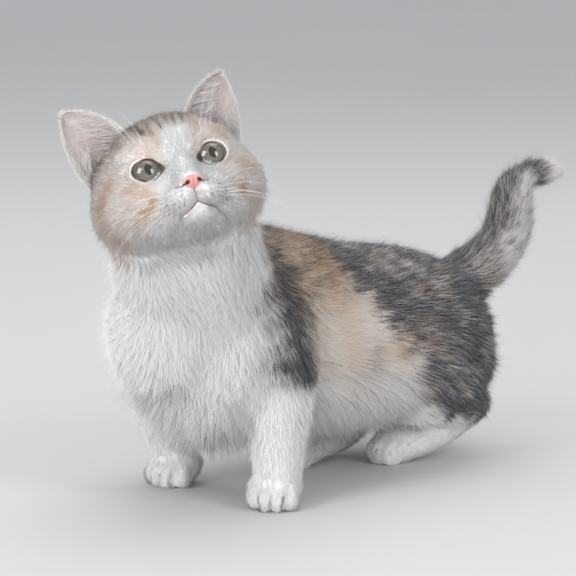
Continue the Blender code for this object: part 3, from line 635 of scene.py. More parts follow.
def body_marks(points):
    folded = points.copy()
    folded[:, 0] = np.abs(points[:, 0] - MIDLINE_X) + MIDLINE_X
    folded[:, 1] += np.where(points[:, 0] < MIDLINE_X, RIGHT_SHIFT, 0.0)
    x, y, z = folded.T
    ragged = grain(points, 13, 1) * 1.8 + grain(points, 4.5, 2) * 1.6
    past_band = y - np.interp(z, BAND_Z, BAND_Y) + ragged
    neck_foot, neck_top = np.array(NECK_AXIS, float)
    axis = neck_top - neck_foot
    share = np.clip((points - neck_foot) @ axis / (axis @ axis), 0, 1)
    behind = (points - neck_foot - share[:, None] * axis) @ np.array(NAPE_WAY)
    nape = soft(behind + ragged, 18, 27) * (z > 100)
    coloured = np.maximum(soft(past_band, -10, -4), nape)
    coloured *= 1 - soft(z, 60, 50) * soft(y, -28, -38)
    band = bump(past_band, -4.5 + 3 * soft(z, 98, 114), 13.5 - 7 * soft(z, 98, 114)) * soft(z, 52, 60)
    wisps = sum(strength * bump(distance_to(folded, line), 0, wide) for strength, wide, line in BLACK_WISPS)
    saddle = coloured * soft(z, 55, 88)
    edge = distance_to(folded[:, 1:], GINGER_EDGE)
    ginger = 0.46 * saddle * soft(z, 76, 104) + 0.25 * coloured * bump(edge, 0, 8) * soft(z, 30, 60)
    dark = 0.46 * saddle * soft(z, 72, 106) * (0.85 + 0.5 * grain(points, 5, 3))
    height, start, fall = TABBY_EDGE
    above = z - (height - fall * (y - start)) + 2.5 * ragged
    tabby = soft(above, -13, 11) * soft(y + ragged, -24, -12)
    cream = coloured * (0.3 + 0.38 * soft(z, 40, 72)) * (1 - 0.7 * tabby)
    blotch = 0.11 * grain(points, 8, 4) + 0.12 * grain(points, 20, 5)
    grey = 0.66 + blotch + 0.2 * soft(y, 38, 66) + 0.34 * bump(above, 10, 9) * soft(y, 25, 5)
    spine = bump(x, MIDLINE_X, 15) * soft(z, 98, 110) * soft(y, -66, -50)
    dark = np.maximum(dark * (1 - tabby) + grey * tabby, (0.85 + blotch) * spine)
    tortie = np.clip(0.17 + 0.22 * grain(points, 15, 6) - 0.22 * soft(y, 40, 70), 0, 1)
    ginger = ginger * (1 - tabby) + tabby * tortie
    for centre, radius, strength in GINGER_PATCHES:
        ginger += strength * bump(np.linalg.norm(folded - centre, axis=1), 0, radius) * (1 - 0.6 * tabby)
    centre, squash, radius, strength = GREY_SPOT
    dark += strength * bump(np.linalg.norm((folded - centre) * squash, axis=1), 0, radius) * (1 - tabby)
    dark = np.maximum(dark, 0.95 * band * np.maximum(coloured, 0.6)) + 0.75 * np.clip(1.2 * wisps, 0, 1)
    up_thigh = z + 0.25 * (y - 55)
    # Painted shade: a dark band along the thigh's lower edge, where it overhangs the shank.
    dark += 0.5 * (bump(up_thigh, 31, 4.5) * soft(y, 28, 42))
    hind_white = soft(up_thigh + ragged, 27, 21) * (y > 0)
    under = soft(z, 60, 42) * soft(y, 60, 40) * soft(above, 0, -14)
    white = np.maximum(hind_white, 0.88 * under)
    return np.stack([ginger * (1 - white), dark * (1 - white), np.maximum(cream, 0.1) * (1 - 0.7 * white)], 1)


def tail_marks(points, share, out):
    front = 0.5 + 0.5 * out @ (TAIL_FRONT / np.linalg.norm(TAIL_FRONT)) + 0.12 * grain(points, 8, 7)
    dark = 0.3 + 0.36 * soft(front, 0.35, 0.8) + 0.1 * grain(points, 6, 8)
    dark = np.maximum(dark, 0.85 * bump(share, 0.79, 0.06))
    dark = np.maximum(dark, 0.5 * bump(share, 0.42, 0.06) * soft(front, 0.25, 0.6))
    dark *= 1 - 0.8 * soft(share, 0.85, 0.92)
    patch = bump(np.linalg.norm(points - TAIL_PATCH[0], axis=1), 0, TAIL_PATCH[1])
    ginger = 0.14 * soft(front, 0.3, 0.7) + 0.45 * patch
    return np.stack([ginger, dark * (1 - 0.8 * patch), np.full(len(points), 0.22) + 0.4 * patch], 1)


# The face's streaks, in the head's frame: how strong, how wide, and where they run.
GINGER_STREAKS = [
    (0.75, 3.2, [(-29, 8, 3), (-36.5, 12, -8), (-36.5, 15, -17), (-32, 14, -25)]),
    (0.5, 3.0, [(-24, 0, -5), (-19, -2, -9), (-15, -4, -13)]),
    (0.75, 1.8, [(-15.5, -3.5, -14.5), (-21.4, -1, -17.5), (-26.5, 3, -21), (-28, 7, -25)]),
    (0.4, 3.6, [(-34, 13, -24), (-28, 12, -29), (-22, 9, -31)]),
    (0.55, 2.6, [(18, -1, 11.5), (25, 2.5, 8), (32, 8, 3)]),
    (0.4, 2.8, [(24, 0, -5), (31, 6, -9)]),
    (1.0, 2.0, [(23, 0, -18.7), (25.5, 1.5, -18.9)]),
    (0.55, 3.4, [(30, 8, -22), (25, 7.5, -27)]),
    (0.5, 1.3, [(-8.5, 1, 16), (-6.5, 0, 13), (-5.5, -1.5, 8.5)]),
    (0.55, 1.3, [(10.5, 1, 17), (11, 0.5, 12.5)]),
]
DARK_STREAKS = [
    (0.55, 2.0, [(-12.5, 5, 24), (-10.5, 1, 16)]),
    (0.4, 1.3, [(-7.5, 2, 20), (-7, 0.5, 14)]),
    (0.45, 1.0, [(-3.2, 2, 21), (-2.6, 0, 15)]),
    (0.4, 0.9, [(0.4, 2, 21), (0.6, 0, 16.5)]),
    (0.45, 1.0, [(4.0, 2, 21), (3.4, 0, 16)]),
    (0.5, 1.2, [(8.0, 3, 22), (6.8, 0.5, 16)]),
]
PAINTED_SHADE_LINES = [  # painted shade in creases: x and z from the middle out, behind which y, strength, width: along the jaw's fold, in the nostril's slit
    ([(4, -23.4), (8.5, -25), (12, -27)], 12, 0.24, 1.5),
    ([(4.6, -12.9), (6.2, -13.3)], 0, 0.8, 0.45),
]
WHISKER_ROWS = ((-15.2, 4), (-16.9, 5), (-18.6, 5), (-20.2, 4))  # height and number of hairs of each row
WHISKER_FIRST, WHISKER_STEP = 5.6, 2.1  # across the pad


def whisker_roots(side):
    """Places across and up the pad from which its whiskers and dark dots come."""
    return [(side * (WHISKER_FIRST + WHISKER_STEP * j + 0.5 * (i % 2)), z - 0.14 * j * j)
            for i, (z, n) in enumerate(WHISKER_ROWS) for j in range(n)]


def head_marks(head_points):
    x, y, z = head_points.T
    ragged = grain(head_points, 7, 11) * 1.4 + grain(head_points, 2.6, 12) * 0.8
    blaze = soft(np.abs(x - 0.5) + ragged * 0.7, 7.5, 4.5) * soft(z + ragged, 17, 12)
    muzzle = soft(np.abs(x) + ragged, 17, 12) * soft(z + ragged, 2, -4) * soft(y, 14, 8)
    throat = soft(z + ragged * 1.5 + 0.12 * np.maximum(y, 0), -20, -26)
    white = np.maximum.reduce([blaze, muzzle, throat])
    crown = soft(z + 0.45 * y + ragged, 13, 24)
    ticked = np.maximum(crown, soft(y + ragged * 2, 34, 46) * soft(z, -16, -6))
    ginger = 0.13 + 0.14 * ticked + 0.1 * grain(head_points, 6, 13)
    dark = ticked * (0.46 + 0.16 * grain(head_points, 4, 14)) * (0.75 + 0.25 * soft(y, 10, 25))
    for strength, width, line in GINGER_STREAKS:
        away = np.maximum(distance_to(head_points, line) - 1.2, 0)
        ginger = np.maximum(ginger, 0.95 * strength * bump(away + 0.5 * ragged, 0, width))
    for strength, width, line in DARK_STREAKS:
        away = distance_to(head_points[:, [0, 2]], [(a, c) for a, _, c in line]) + 50 * (y > 20)
        dark = np.maximum(dark, 1.25 * strength * bump(away + 0.25 * ragged, 0, width))
    cream = np.full(len(x), 0.3) + 0.35 * ticked
    ginger, dark, cream = ginger * (1 - white), dark * (1 - white * 0.9), cream * (1 - 0.85 * white)
    folded = np.stack([np.abs(x), z], 1)
    # Painted shade along the lips, out to the corners of the mouth.
    dark = np.maximum(dark, 0.3 * bump(near_lips(head_points), 0, 1.2) * soft(np.abs(x), 1.5, 5))
    # Painted shade in the fold below the mouth and in each nostril's slit.
    for line, back, strength, width in PAINTED_SHADE_LINES:
        dark = np.maximum(dark, strength * bump(distance_to(folded, line), 0, width) * (y < back))
    for side in (1, -1):
        rim = opening_share(head_points, side)
        ginger = np.maximum(ginger, 0.35 * (y < 8) * bump(rim, 1.15, 0.16) * soft(z, 1.5, 4.5))
        for across, up in whisker_roots(side):
            dark = np.maximum(dark, 0.6 * (y < 6) * bump(np.hypot(x - across, z - up), 0, 0.42))
    return np.stack([ginger, dark, cream], 1)


def past_head(head_points):
    """How far past the head's end each point is."""
    return (head_points - NECK_CUT[0]) @ np.array(NECK_CUT[1]) / np.linalg.norm(NECK_CUT[1])


TOE_GAPS = (-0.45, 0.0, 0.45)  # where painted shade lies between the toes, across the paw, in half widths


def marks_at(points):
    """Ginger, dark and cream shares of the coat at places in the kitten's frame. The dark share also holds
    painted shade in creases.
    """
    head_points = to_head(points)
    ahead = soft(-past_head(head_points), -5, 5)[:, None]
    marks = blended(body_marks(points), head_marks(head_points), ahead)
    share, gap, out = tail_share(points)
    on_tail = (soft(gap, 12, 5) * soft(share, 0.14, 0.3) * (points[:, 1] > 60))[:, None]
    marks = blended(marks, tail_marks(points, share, out), on_tail)
    slit = np.full(len(points), 99.0)
    for name in PAWS:
        place, half_width = paw_frame(name)
        x, y, z = ((points - np.array(place.translation)) @ np.array(place.to_3x3())).T
        on_toes = (y < -5.5) & (y > -16) & (z < 8.5) & (np.abs(x) < half_width)
        for across in TOE_GAPS:
            slit = np.where(on_toes, np.minimum(slit, np.abs(x - across * half_width)), slit)
    # Painted shade: thin dark lines in the gaps between the toes.
    marks[:, 1] = np.maximum(marks[:, 1], 0.55 * bump(slit, 0, 0.5))
    return np.clip(marks, 0, 1)


WHITE_HAIR, CREAM_HAIR, GINGER_HAIR = (0.89, 0.89, 0.90), (0.83, 0.72, 0.60), (0.56, 0.32, 0.16)
DARK_HAIR, GREY_HAIR = (0.026, 0.026, 0.030), (0.29, 0.29, 0.31)


def marks_of(start):
    """The three shares and the fourth value that a piece carries at each point."""
    marks = start.node("Attribute", {"attribute_name": "marks"})
    split = marks.node("SeparateColor", Color=marks)
    return split, split.part("Green"), split.part("Blue"), marks.part("Alpha")


def hair_colour(start):
    """The coat's colour from the marks and from where along its hair a point is; painted shade darkens each
    hair towards its root.
    """
    ginger, dark, cream, along = marks_of(start)
    strand = start.node("Attribute", {"attribute_name": "strand"}, output=2)
    colour = (cream * (0.8 + 0.4 * strand)).capped().mixed(WHITE_HAIR, CREAM_HAIR)
    colour = (ginger * (0.7 + 0.6 * strand)).capped().mixed(colour, GINGER_HAIR)
    colour = start.node("VectorMath", {"operation": "SCALE"}, in0=colour, Scale=1.0 - 0.42 * dark)
    black = (strand * strand).mixed(DARK_HAIR, GREY_HAIR)
    share = (dark * 1.15 - strand * 0.9 + 0.1).step(0.0, 0.5) * (0.5 + 0.5 * along.step(0.0, 0.55))
    colour = share.mixed(colour, black)
    # Painted shade: each hair is darker towards its root, the more so where it is dark; its own draw varies
    # its tone at random.
    shade = 1.0 - (1.0 - along.step(0.0, 0.6)) * (0.16 + 0.3 * dark) - 0.17 * strand
    return start.node("VectorMath", {"operation": "SCALE"}, in0=colour, Scale=shade), strand


def coat_material():
    fixed = {"Sheen_Weight": 0.06, "Sheen_Roughness": 0.5, "Specular_IOR_Level": 0.1}
    material, shader, start = new_material("coat", **fixed)
    colour, strand = hair_colour(start)
    feed(shader, Base_Color=colour, Roughness=0.65 + 0.25 * strand)
    return material


def skin_material():
    """The short underfur: the coat's own colours with the painted shade of a hair's lower third, and a fine
    nap.
    """
    material, shader, start = new_material("underfur", Sheen_Weight=0.15, Specular_IOR_Level=0.2)
    colour, strand = hair_colour(start)
    nap = texture(start, Scale=1400.0, Detail=3.0)
    feed(shader, Base_Color=colour, Roughness=0.75 + 0.15 * nap, Normal=relief(nap, 0.5, 0.0004))
    return material


def write_marks(mesh, marks, along, strand):
    """The pattern of each point, where along its hair it lies, and its hair's own draw."""
    paint = mesh.attributes.new("marks", "FLOAT_COLOR", "POINT")
    values = np.column_stack([marks, np.broadcast_to(along, len(marks))])
    paint.data.foreach_set("color", values.astype(np.float32).ravel())
    draw = mesh.attributes.new("strand", "FLOAT", "POINT")
    draw.data.foreach_set("value", np.broadcast_to(strand, len(marks)).astype(np.float32))


def settle(obj, material, points=None):
    """Moves a piece from the kitten's frame to the model's, and gives it its material, slot and body."""
    points = read_points(obj.data) if points is None else points
    write_points(obj.data, np.asarray(points) * MM + SHIFT)
    obj.data.materials.clear()
    obj.data.materials.append(material)
    obj.data.shade_smooth()
    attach(obj, "root")


SKIN_ALONG, SKIN_STRAND = 0.35, 0.4  # the underfur's colour, painted root shade included, is that of a hair's lower third, a middling one
UNDERFUR, COAT = skin_material(), coat_material()
skin.data.calc_loop_triangles()
skin_faces = field_of(skin.data.loop_triangles, "vertices", 3, np.int64)
skin_edges = field_of(skin.data.edges, "vertices", 2, np.int64)
skin_normals = field_of(skin.data.vertex_normals, "vector")
write_marks(skin.data, marks_at(skin_points), SKIN_ALONG, SKIN_STRAND)
settle(skin, UNDERFUR, skin_points)
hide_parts(*[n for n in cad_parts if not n.startswith(("eye", "ear"))])


# The lie of the coat. It runs back from the nose over the head, down the neck and bib, back along the trunk
# and down its flanks, down the legs to the toes and along the tail to its tip. It is shortest on the face and
# feet, and longest on the bib, its fringe and the tail.
HAIR = {  # length in millimetres, lift in degrees, width
    "trunk": (9.0, 15, 0.33), "neck": (8.5, 16, 0.31), "tail": (8.2, 18, 0.34), "foreleg": (5.5, 14, 0.29),
    "thigh": (8.0, 15, 0.33), "shank": (6.5, 18, 0.30), "foot": (4.2, 17, 0.27), "paw": (2.8, 17, 0.23),
    "head": (4.6, 14, 0.26), "face": (2.0, 14, 0.18), "fringe": (18.0, 62, 0.36),
}
LONGER = {  # what is added to the length, lift and width where the coat is fuller
    "ruff": (2.5, 6, 0.04), "low_flank": (8.0, 30, 0.06), "feathers": (2.5, 8, 0.03), "bib": (1.5, 4, 0.0),
    "bib_foot": (4.0, 8, 0.03),
}
TRUNK_LIE, THIGH_LIE = (0.0, 1.0, -0.22), (0.0, 0.75, -0.6)
BIB_LIE, PAW_LIE = (0.0, -0.1, -1.0), (0.0, -0.8, -0.6)
PAW_REACH, PAW_TOP = 19, 12  # hair that near a paw's middle, and below that height, is the paw's
BIB_MIDDLE = 6.0  # where the bib's hair parts to either side
SPREADING = 36  # rounds by which neighbouring hair is evened out


def near_limb(points, rows):
    """Distance outside a limb and the way along it at the nearest row."""
    rows = smooth_path(rows)
    gaps = np.linalg.norm(points[:, None] - rows[None, :, :3], axis=2) - rows[None, :, 3:].mean(axis=2)
    nearest = gaps.argmin(axis=1)
    return gaps[np.arange(len(points)), nearest], ahead_along(rows)[nearest]


def evened(values, edges, rounds):
    """Values at the skin's points, averaged with their neighbours'."""
    values = values.copy()
    count = np.bincount(edges.ravel(), minlength=len(values))[:, None]
    for _ in range(rounds):
        total = np.zeros_like(values)
        for k in range(values.shape[1]):
            total[:, k] = np.bincount(edges[:, 0], values[edges[:, 1], k], len(values))
            total[:, k] += np.bincount(edges[:, 1], values[edges[:, 0], k], len(values))
        values = (values + total / np.maximum(count, 1)) / 2
    return values


def unit(vectors):
    return vectors / (np.linalg.norm(vectors, axis=1)[:, None] + 1e-9)


nearest_gap = np.full(len(skin_points), 1e9)
limb_of = np.zeros(len(skin_points), int)
limb_names = list(LIMBS)
lie = np.zeros_like(skin_points)
for i, name in enumerate(limb_names):
    gap, along = near_limb(skin_points, LIMBS[name][2])
    closer = gap < nearest_gap
    nearest_gap = np.where(closer, gap, nearest_gap)
    limb_of = np.where(closer, i, limb_of)
    lie[closer] = along[closer]
kinds = np.array([n.split("_")[0] for n in limb_names])[limb_of]
head_points = to_head(skin_points)
head_cut = past_head(head_points)
is_head = (head_cut < 0) & (outside_head(head_points) < 4)
kinds[is_head] = "head"
x, y, z = skin_points.T
near_paw = {name: np.hypot(x - paw[0], y - paw[1]) < PAW_REACH for name, paw in PAWS.items()}
kinds[np.any(list(near_paw.values()), axis=0) & (z < PAW_TOP) & np.isin(kinds, ["foreleg", "foot"])] = "paw"
lie[kinds == "trunk"] = TRUNK_LIE
lie[kinds == "thigh"] = THIGH_LIE
lie[kinds == "neck"] *= -1
bib = np.isin(kinds, ["neck", "trunk"]) & (y < -50) & (z < 128)
front_of_bib = soft(y, -50, -66)[:, None] * bib[:, None]
off_middle = np.abs(x - BIB_MIDDLE)
parted = (0.25 + 0.65 * soft(z, 70, 95) * soft(off_middle, 3, 14))[:, None]
down_bib = np.array(BIB_LIE) + parted * np.sign(x - BIB_MIDDLE)[:, None] * (1, 0, 0)
lie = blended(lie, down_bib, front_of_bib)
for name, near in near_paw.items():
    lie[near & (kinds == "paw")] = np.array(paw_frame(name)[0].to_3x3()) @ np.array(PAW_LIE)
from_nose = unit(head_points - (0, -15, -11))
from_nose[:, 1] += 0.35
from_nose[:, 2] -= 0.5 * (soft(-head_points[:, 2], -2, 18) * soft(head_points[:, 1], 2, 20))
lie[is_head] = (from_nose @ HEAD_TURN.T)[is_head]
throat = (soft(head_cut, -32, -8) * soft(-head_points[:, 2], 4, 20) * is_head)[:, None]
lie = blended(lie, down_bib, throat)
swirl = np.stack([grain(skin_points, 15, seed) for seed in (61, 62, 63)], 1)
lie += swirl * (0.12 + 0.38 * front_of_bib * soft(off_middle, 26, 12)[:, None]) * (~is_head)[:, None]

sizes = np.array([HAIR[k] for k in kinds])
far_from_nose = np.linalg.norm(head_points - (0, -8, -12), axis=1)
sizes = blended(sizes, np.array(HAIR["face"]), (soft(far_from_nose, 40, 14) * is_head)[:, None])
ruff = (soft(-head_points[:, 2], 4, 16) * soft(head_points[:, 1], 8, 22) * is_head)[:, None]
sizes += ruff * LONGER["ruff"]
sizes = blended(sizes, np.array(HAIR["neck"]), throat)
on_trunk = kinds == "trunk"
fringe = soft(skin_normals[:, 2], -0.15, -0.75) * soft(z, 62, 52) * soft(y, -36, -48) * on_trunk
sizes = blended(sizes, np.array(HAIR["fringe"]), (fringe * soft(off_middle, 26, 14))[:, None])
fuller = {
    "low_flank": soft(skin_normals[:, 2], 0.1, -0.5) * soft(z, 62, 46) * on_trunk * (y > -40),
    "feathers": soft(z, 20, 38) * (kinds == "foreleg"),
    "bib": soft(y, -60, -76) * bib,
    "bib_foot": soft(y, -50, -60) * bump(z, 64, 12) * on_trunk,
}
for name, share in fuller.items():
    sizes += share[:, None] * LONGER[name]
lie = evened(unit(lie - skin_normals * (lie * skin_normals).sum(1)[:, None]), skin_edges, SPREADING)
sizes = evened(sizes, skin_edges, SPREADING)
eye_share = np.minimum(opening_share(head_points, 1), opening_share(head_points, -1))
bare = (head_points[:, 1] < 8) & (eye_share < 1.0 + 0.08 * soft(head_points[:, 2], 1, 4))
bare |= (near_lips(head_points) < 0.45) & (np.abs(head_points[:, 0]) < 6.5)
under_nose = np.hypot(head_points[:, 0] / 4.1, (head_points[:, 2] + 12.3) / 2.7) < 1
bare |= under_nose & (head_points[:, 1] < 0)
bare |= z < 0.4
for side in (1, -1):
    in_ear = np.linalg.norm((head_points - (side * 23, 24, 24)) / (9, 10, 9), axis=1) < 1
    bare |= in_ear & is_head


# The coat. Each tuft is a thin, flat, three-sided spike of mesh that rises from the skin, bends over and lies
# along the coat's lie. Neighbouring tips lean together into locks. The tufts of a region are one piece.
TUFT_PATCH = 0.003  # each tuft's share of the unwrapped skin
TUFT_SUNK, TUFT_RIDGE = 0.7, 0.45  # how deep the root goes at most, and the ridge's height in widths
TUFT_WIDTHS = {1: (1.0,), 2: (0.8, 1.0), 3: (0.75, 1.0, 0.72)}  # at each ring, in half widths
LOCK_SIZE = 9  # tufts that lean together
STRAY_SHARE = 0.12  # finer, longer hairs that stand out of the coat
FLOOR_CLEARANCE = 0.3
FREE = 9  # a tuft's own facing from which it is shaded by it alone, for hair that is seen from beneath


def mesh_from(name, points, quads, triangles):
    mesh = bpy.data.meshes.new(name)
    mesh.vertices.add(len(points))
    mesh.vertices.foreach_set("co", np.ascontiguousarray(points, np.float32).ravel())
    corners = np.concatenate([quads.ravel(), triangles.ravel()]).astype(np.int32)
    starts = np.concatenate([np.arange(len(quads)) * 4, len(quads) * 4 + np.arange(len(triangles)) * 3])
    mesh.loops.add(len(corners))
    mesh.loops.foreach_set("vertex_index", corners)
    mesh.polygons.add(len(starts))
    mesh.polygons.foreach_set("loop_start", starts.astype(np.int32))
    mesh.update(calc_edges=True)
    return mesh, corners


def unwrapped(points, faces):
    """The corners of these faces on a flat unwrap of their own shape."""
    used, faces = np.unique(faces, return_inverse=True)
    mesh, _ = mesh_from("region", points[used] * MM, np.zeros((0, 4), int), faces.reshape(-1, 3))
    region = linked("region", mesh)
    only(region)
    bpy.ops.object.mode_set(mode="EDIT")
    bpy.ops.mesh.select_all(action="SELECT")
    bpy.ops.uv.smart_project(angle_limit=math.radians(66), island_margin=0.004)
    bpy.ops.object.mode_set(mode="OBJECT")
    flat = field_of(mesh.uv_layers.active.data, "uv", 2)
    bpy.data.objects.remove(region)
    return flat.reshape(-1, 3, 2)


def leaning(tips, roots, size, pull, dice):
    """How far each tip moves towards the middle of its lock."""
    chosen = dice.choice(len(tips), max(len(tips) // size, 1), replace=False)
    tree = KDTree(len(chosen))
    for i, c in enumerate(chosen):
        tree.insert(roots[c], i)
    tree.balance()
    owner = chosen[[tree.find(r)[1] for r in roots]]
    toward_lock = tips[owner] - tips
    reach = np.linalg.norm(toward_lock, axis=1)[:, None] + 1e-9
    return toward_lock * pull * np.minimum(1, 2.5 / reach)


def tufts(root, normal, way, size, rings, dice, pull, own):
    """One tuft on each root: points, quads, triangles, shading normals, places along it and in its patch."""
    count = len(root)
    length = size[:, 0] * dice.uniform(0.72, 1.18, count)
    lift = np.radians(size[:, 1] * dice.uniform(0.6, 1.45, count))
    half = size[:, 2] * dice.uniform(0.75, 1.2, count) / 2
    stray = dice.random(count) < STRAY_SHARE
    length = np.where(stray, length * 1.3, length)
    lift = np.where(stray, lift * 1.9, lift)
    half = np.where(stray, half * 0.6, half)
    turn = dice.normal(0, 0.16, count)
    side = unit(np.cross(normal, way))
    way = way * np.cos(turn)[:, None] + side * np.sin(turn)[:, None]
    side = unit(np.cross(normal, way))
    sway = dice.normal(0, 0.1, count)
    sunk = np.minimum(TUFT_SUNK, 0.1 * length)[:, None]
    shares = [i / rings * 0.92 for i in range(rings)] + [1.0]
    lines = []
    for t in shares:
        on = (length * np.cos(lift) * (0.75 * t + 0.25 * t * t))[:, None] * way
        up = (length * np.sin(lift) * (1.5 * t - 0.5 * t * t))[:, None] * normal
        across = (length * sway * t * t)[:, None] * side
        lines.append(root + on + up + across - normal * (sunk if t == 0 else 0))
    lean = leaning(lines[-1], root, LOCK_SIZE, pull, dice)
    lines = [line + lean * t * t for line, t in zip(lines, shares)]
    points = []
    for line, wide in zip(lines, TUFT_WIDTHS[rings]):
        across = side * (half * wide)[:, None]
        points += [line - across, line + across, line + normal * (half * wide * TUFT_RIDGE * 2)[:, None]]
    points.append(lines[-1])
    per = len(points)
    points = np.stack(points, 1)
    base = np.arange(count)[:, None] * per
    quads = [(3 * r + j, 3 * r + (j + 1) % 3, 3 * r + 3 + (j + 1) % 3, 3 * r + 3 + j)
             for r in range(rings - 1) for j in range(3)]
    last = 3 * (rings - 1)
    triangles = [(last + j, last + (j + 1) % 3, per - 1) for j in range(3)] + [(0, 2, 1)]
    quads = (base[:, None] + np.array(quads, int).reshape(-1, 4)).reshape(-1, 4)
    triangles = (base[:, None] + np.array(triangles)).reshape(-1, 3)
    facing = np.stack([-side, side, normal] * rings + [normal], 1)
    shading = unit((facing * own + normal[:, None]).reshape(-1, 3))
    along = np.repeat(shares, [3] * rings + [1])
    corner = np.array([(c, s) for s in shares[:-1] for c in (-1, 1, 0)] + [(0, 1)], float)
    return points, quads, triangles, shading, along, corner


def grow(name, points, normals, faces, marks, lie, sizes, count, seed, pull, own, rings=1):
    """One piece of coat: tufts strewn over the faces, closer together where hair is shorter and thinner. The
    less of its own facing a tuft is shaded with, the more it is shaded as the skin under it."""
    dice = np.random.default_rng(seed)
    flat = unwrapped(points, faces)
    a, b, c = (points[faces[:, k]] for k in range(3))
    area = np.linalg.norm(np.cross(b - a, c - a), axis=1)
    density = area / (sizes[faces, 0] * sizes[faces, 2]).mean(axis=1)
    picked = dice.choice(len(faces), count, p=density / density.sum())
    u, v = dice.random((2, count))
    u, v = np.where(u + v > 1, 1 - u, u), np.where(u + v > 1, 1 - v, v)
    share = np.stack([1 - u - v, u, v], 1)[:, :, None]
    fields = (points, normals, lie, sizes)
    root, normal, way, size = ((field[faces[picked]] * share).sum(1) for field in fields)
    normal = unit(normal)
    way = unit(way - normal * (way * normal).sum(1)[:, None])
    uv = (flat[picked] * share).sum(1)
    made, quads, triangles, shading, along, corner = tufts(root, normal, way, size, rings, dice, pull, own)
    per = made.shape[1]
    made = made.reshape(-1, 3)
    made[:, 2] = np.maximum(made[:, 2], FLOOR_CLEARANCE)
    mesh, corners = mesh_from(name, made, quads, triangles)
    patch = uv[:, None] + (corner * (0.5, 1.0) + (0, -0.5)) * TUFT_PATCH
    patch = np.clip(patch, 0.0005, 0.9995).reshape(-1, 2)
    layer = mesh.uv_layers.new(name="OFBake")
    layer.data.foreach_set("uv", patch[corners].astype(np.float32).ravel())
    strand = np.repeat(dice.random(count), per)
    write_marks(mesh, np.repeat(marks(root), per, axis=0), np.tile(along, count), strand)
    settle(linked(name, mesh), COAT, made)
    if own < FREE:
        mesh.normals_split_custom_set_from_vertices(shading)


face_kinds = kinds[skin_faces]
kind_of_face = np.where(face_kinds[:, 0] == face_kinds[:, 1], face_kinds[:, 0], face_kinds[:, 2])
head_face = is_head[skin_faces].sum(axis=1) >= 2
middle = skin_points[skin_faces].mean(axis=1)
head_middle_y = to_head(middle)[:, 1]
x, y, z = middle.T
left_side = x > MIDLINE_X
REGIONS = {  # in order, each face to the first that takes it: which faces, tufts, slot, a tuft's own facing
    "coat_face": (head_face & (head_middle_y < 11), 43000, "coat_face", FREE),
    "coat_head": (head_face, 36000, "coat_face", FREE),
    "coat_tail": ((kind_of_face == "tail") & (y > 74), 31000, "coat_tail", 1.0),
    "coat_forelegs": (
        np.isin(kind_of_face, ["foreleg", "paw"]) & (y < -20) & (z < 60), 33000, "coat_white", 2.5),
    "coat_hind_feet": (np.isin(kind_of_face, ["shank", "foot", "paw"]), 22000, "coat_white", 2.5),
    "coat_bib": ((y < -62) & (z < 92), 36000, "coat_white", 1.0),
    "coat_neck": ((y < -62) | (kind_of_face == "neck") & (y < -56), 31000, "coat_white", 1.0),
    "coat_shoulder_left": (left_side & (y < -6), 30000, "coat_ginger", 1.0),
    "coat_shoulder_right": (y < -6, 22000, "coat_ginger", 1.0),
    "coat_rump_left": (left_side, 42000, "coat_tabby", 1.0),
    "coat_rump_right": (~left_side, 28000, "coat_tabby", 1.0),
}
left_over = ~bare[skin_faces].any(axis=1)
for seed, (name, (chosen, count, slot, own)) in enumerate(REGIONS.items()):
    chosen = chosen & left_over
    left_over &= ~chosen
    pull = 0.25 if name == "coat_face" else 0.5
    grow(name, skin_points, skin_normals, skin_faces[chosen], marks_at, lie, sizes, count,
         seed, pull, own)


# The eyes. Each is a moist ball with a grey-green iris, darker at its rim, and an upright oval pupil.
IRIS_RADIUS, PUPIL = 6.3, (1.75, 2.45)
IRIS_INNER, IRIS_OUTER, LIMBUS = (0.38, 0.345, 0.25), (0.165, 0.152, 0.105), (0.02, 0.017, 0.014)
PUPIL_BLACK = (0.004, 0.004, 0.005)
CORNEA_RADIUS, CORNEA_RISE = 6.4, 0.35


def eye_material(name, side, gaze):
    material, shader, start = new_material(name, Roughness=0.08, Coat_Weight=1.0, Coat_Roughness=0.02,
                                           Specular_IOR_Level=0.6)
    centre = Vector(from_head((side * EYE_SIDE + gaze, EYE_DEPTH, 0)) * MM + SHIFT)
    local = start.node("Mapping", {"vector_type": "TEXTURE"}, Vector=start.node("TexCoord", output=3),
                       Location=centre, Rotation=Matrix(HEAD_TURN).to_euler(), Scale=(MM, MM, MM))
    x = local.node("SeparateXYZ", Vector=local)
    z = x.part("Z")
    square = x * x + z * z
    radius = square.math("SQRT", square)
    ray = start.node("CombineXYZ", X=x / radius * 5.0, Y=z / radius * 5.0, Z=radius * 0.22)
    fibre = start.node("TexNoise", Vector=ray, Scale=2.6, Detail=4.0, Roughness=0.65)
    outward = (radius + (fibre - 0.5) * 2.4).step(2.2, 5.6)
    iris = outward.mixed(IRIS_INNER, IRIS_OUTER)
    iris = ((fibre - 0.35) * 1.5).step(0.1, 0.9).mixed(tuple(c * 0.55 for c in IRIS_OUTER), iris)
    iris = (radius + (fibre - 0.5) * 0.8).step(5.3, IRIS_RADIUS).mixed(iris, LIMBUS)
    pupil = ((x / PUPIL[0]) * (x / PUPIL[0]) + (z / PUPIL[1]) * (z / PUPIL[1])).step(0.85, 1.15)
    feed(shader, Base_Color=pupil.mixed(PUPIL_BLACK, iris))
    return material


for name, side, gaze in (("eyeball_left", 1, 0.0), ("eyeball_right", -1, 0.2)):
    deselect()
    bpy.ops.mesh.primitive_uv_sphere_add(segments=64, ring_count=40, radius=EYE_RADIUS)
    eye = bpy.context.object
    eye.name = name
    points = read_points(eye.data)[:, [0, 2, 1]] * (1, -1, 1)
    cornea = soft(np.hypot(points[:, 0], points[:, 2]), CORNEA_RADIUS, 0) * (points[:, 1] < 0)
    points[:, 1] -= CORNEA_RISE * cornea
    settle(eye, eye_material(name, side, gaze), from_head(points + (side * EYE_SIDE, EYE_DEPTH, 0)))
    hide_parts("eye_left" if side == 1 else "eye_right")


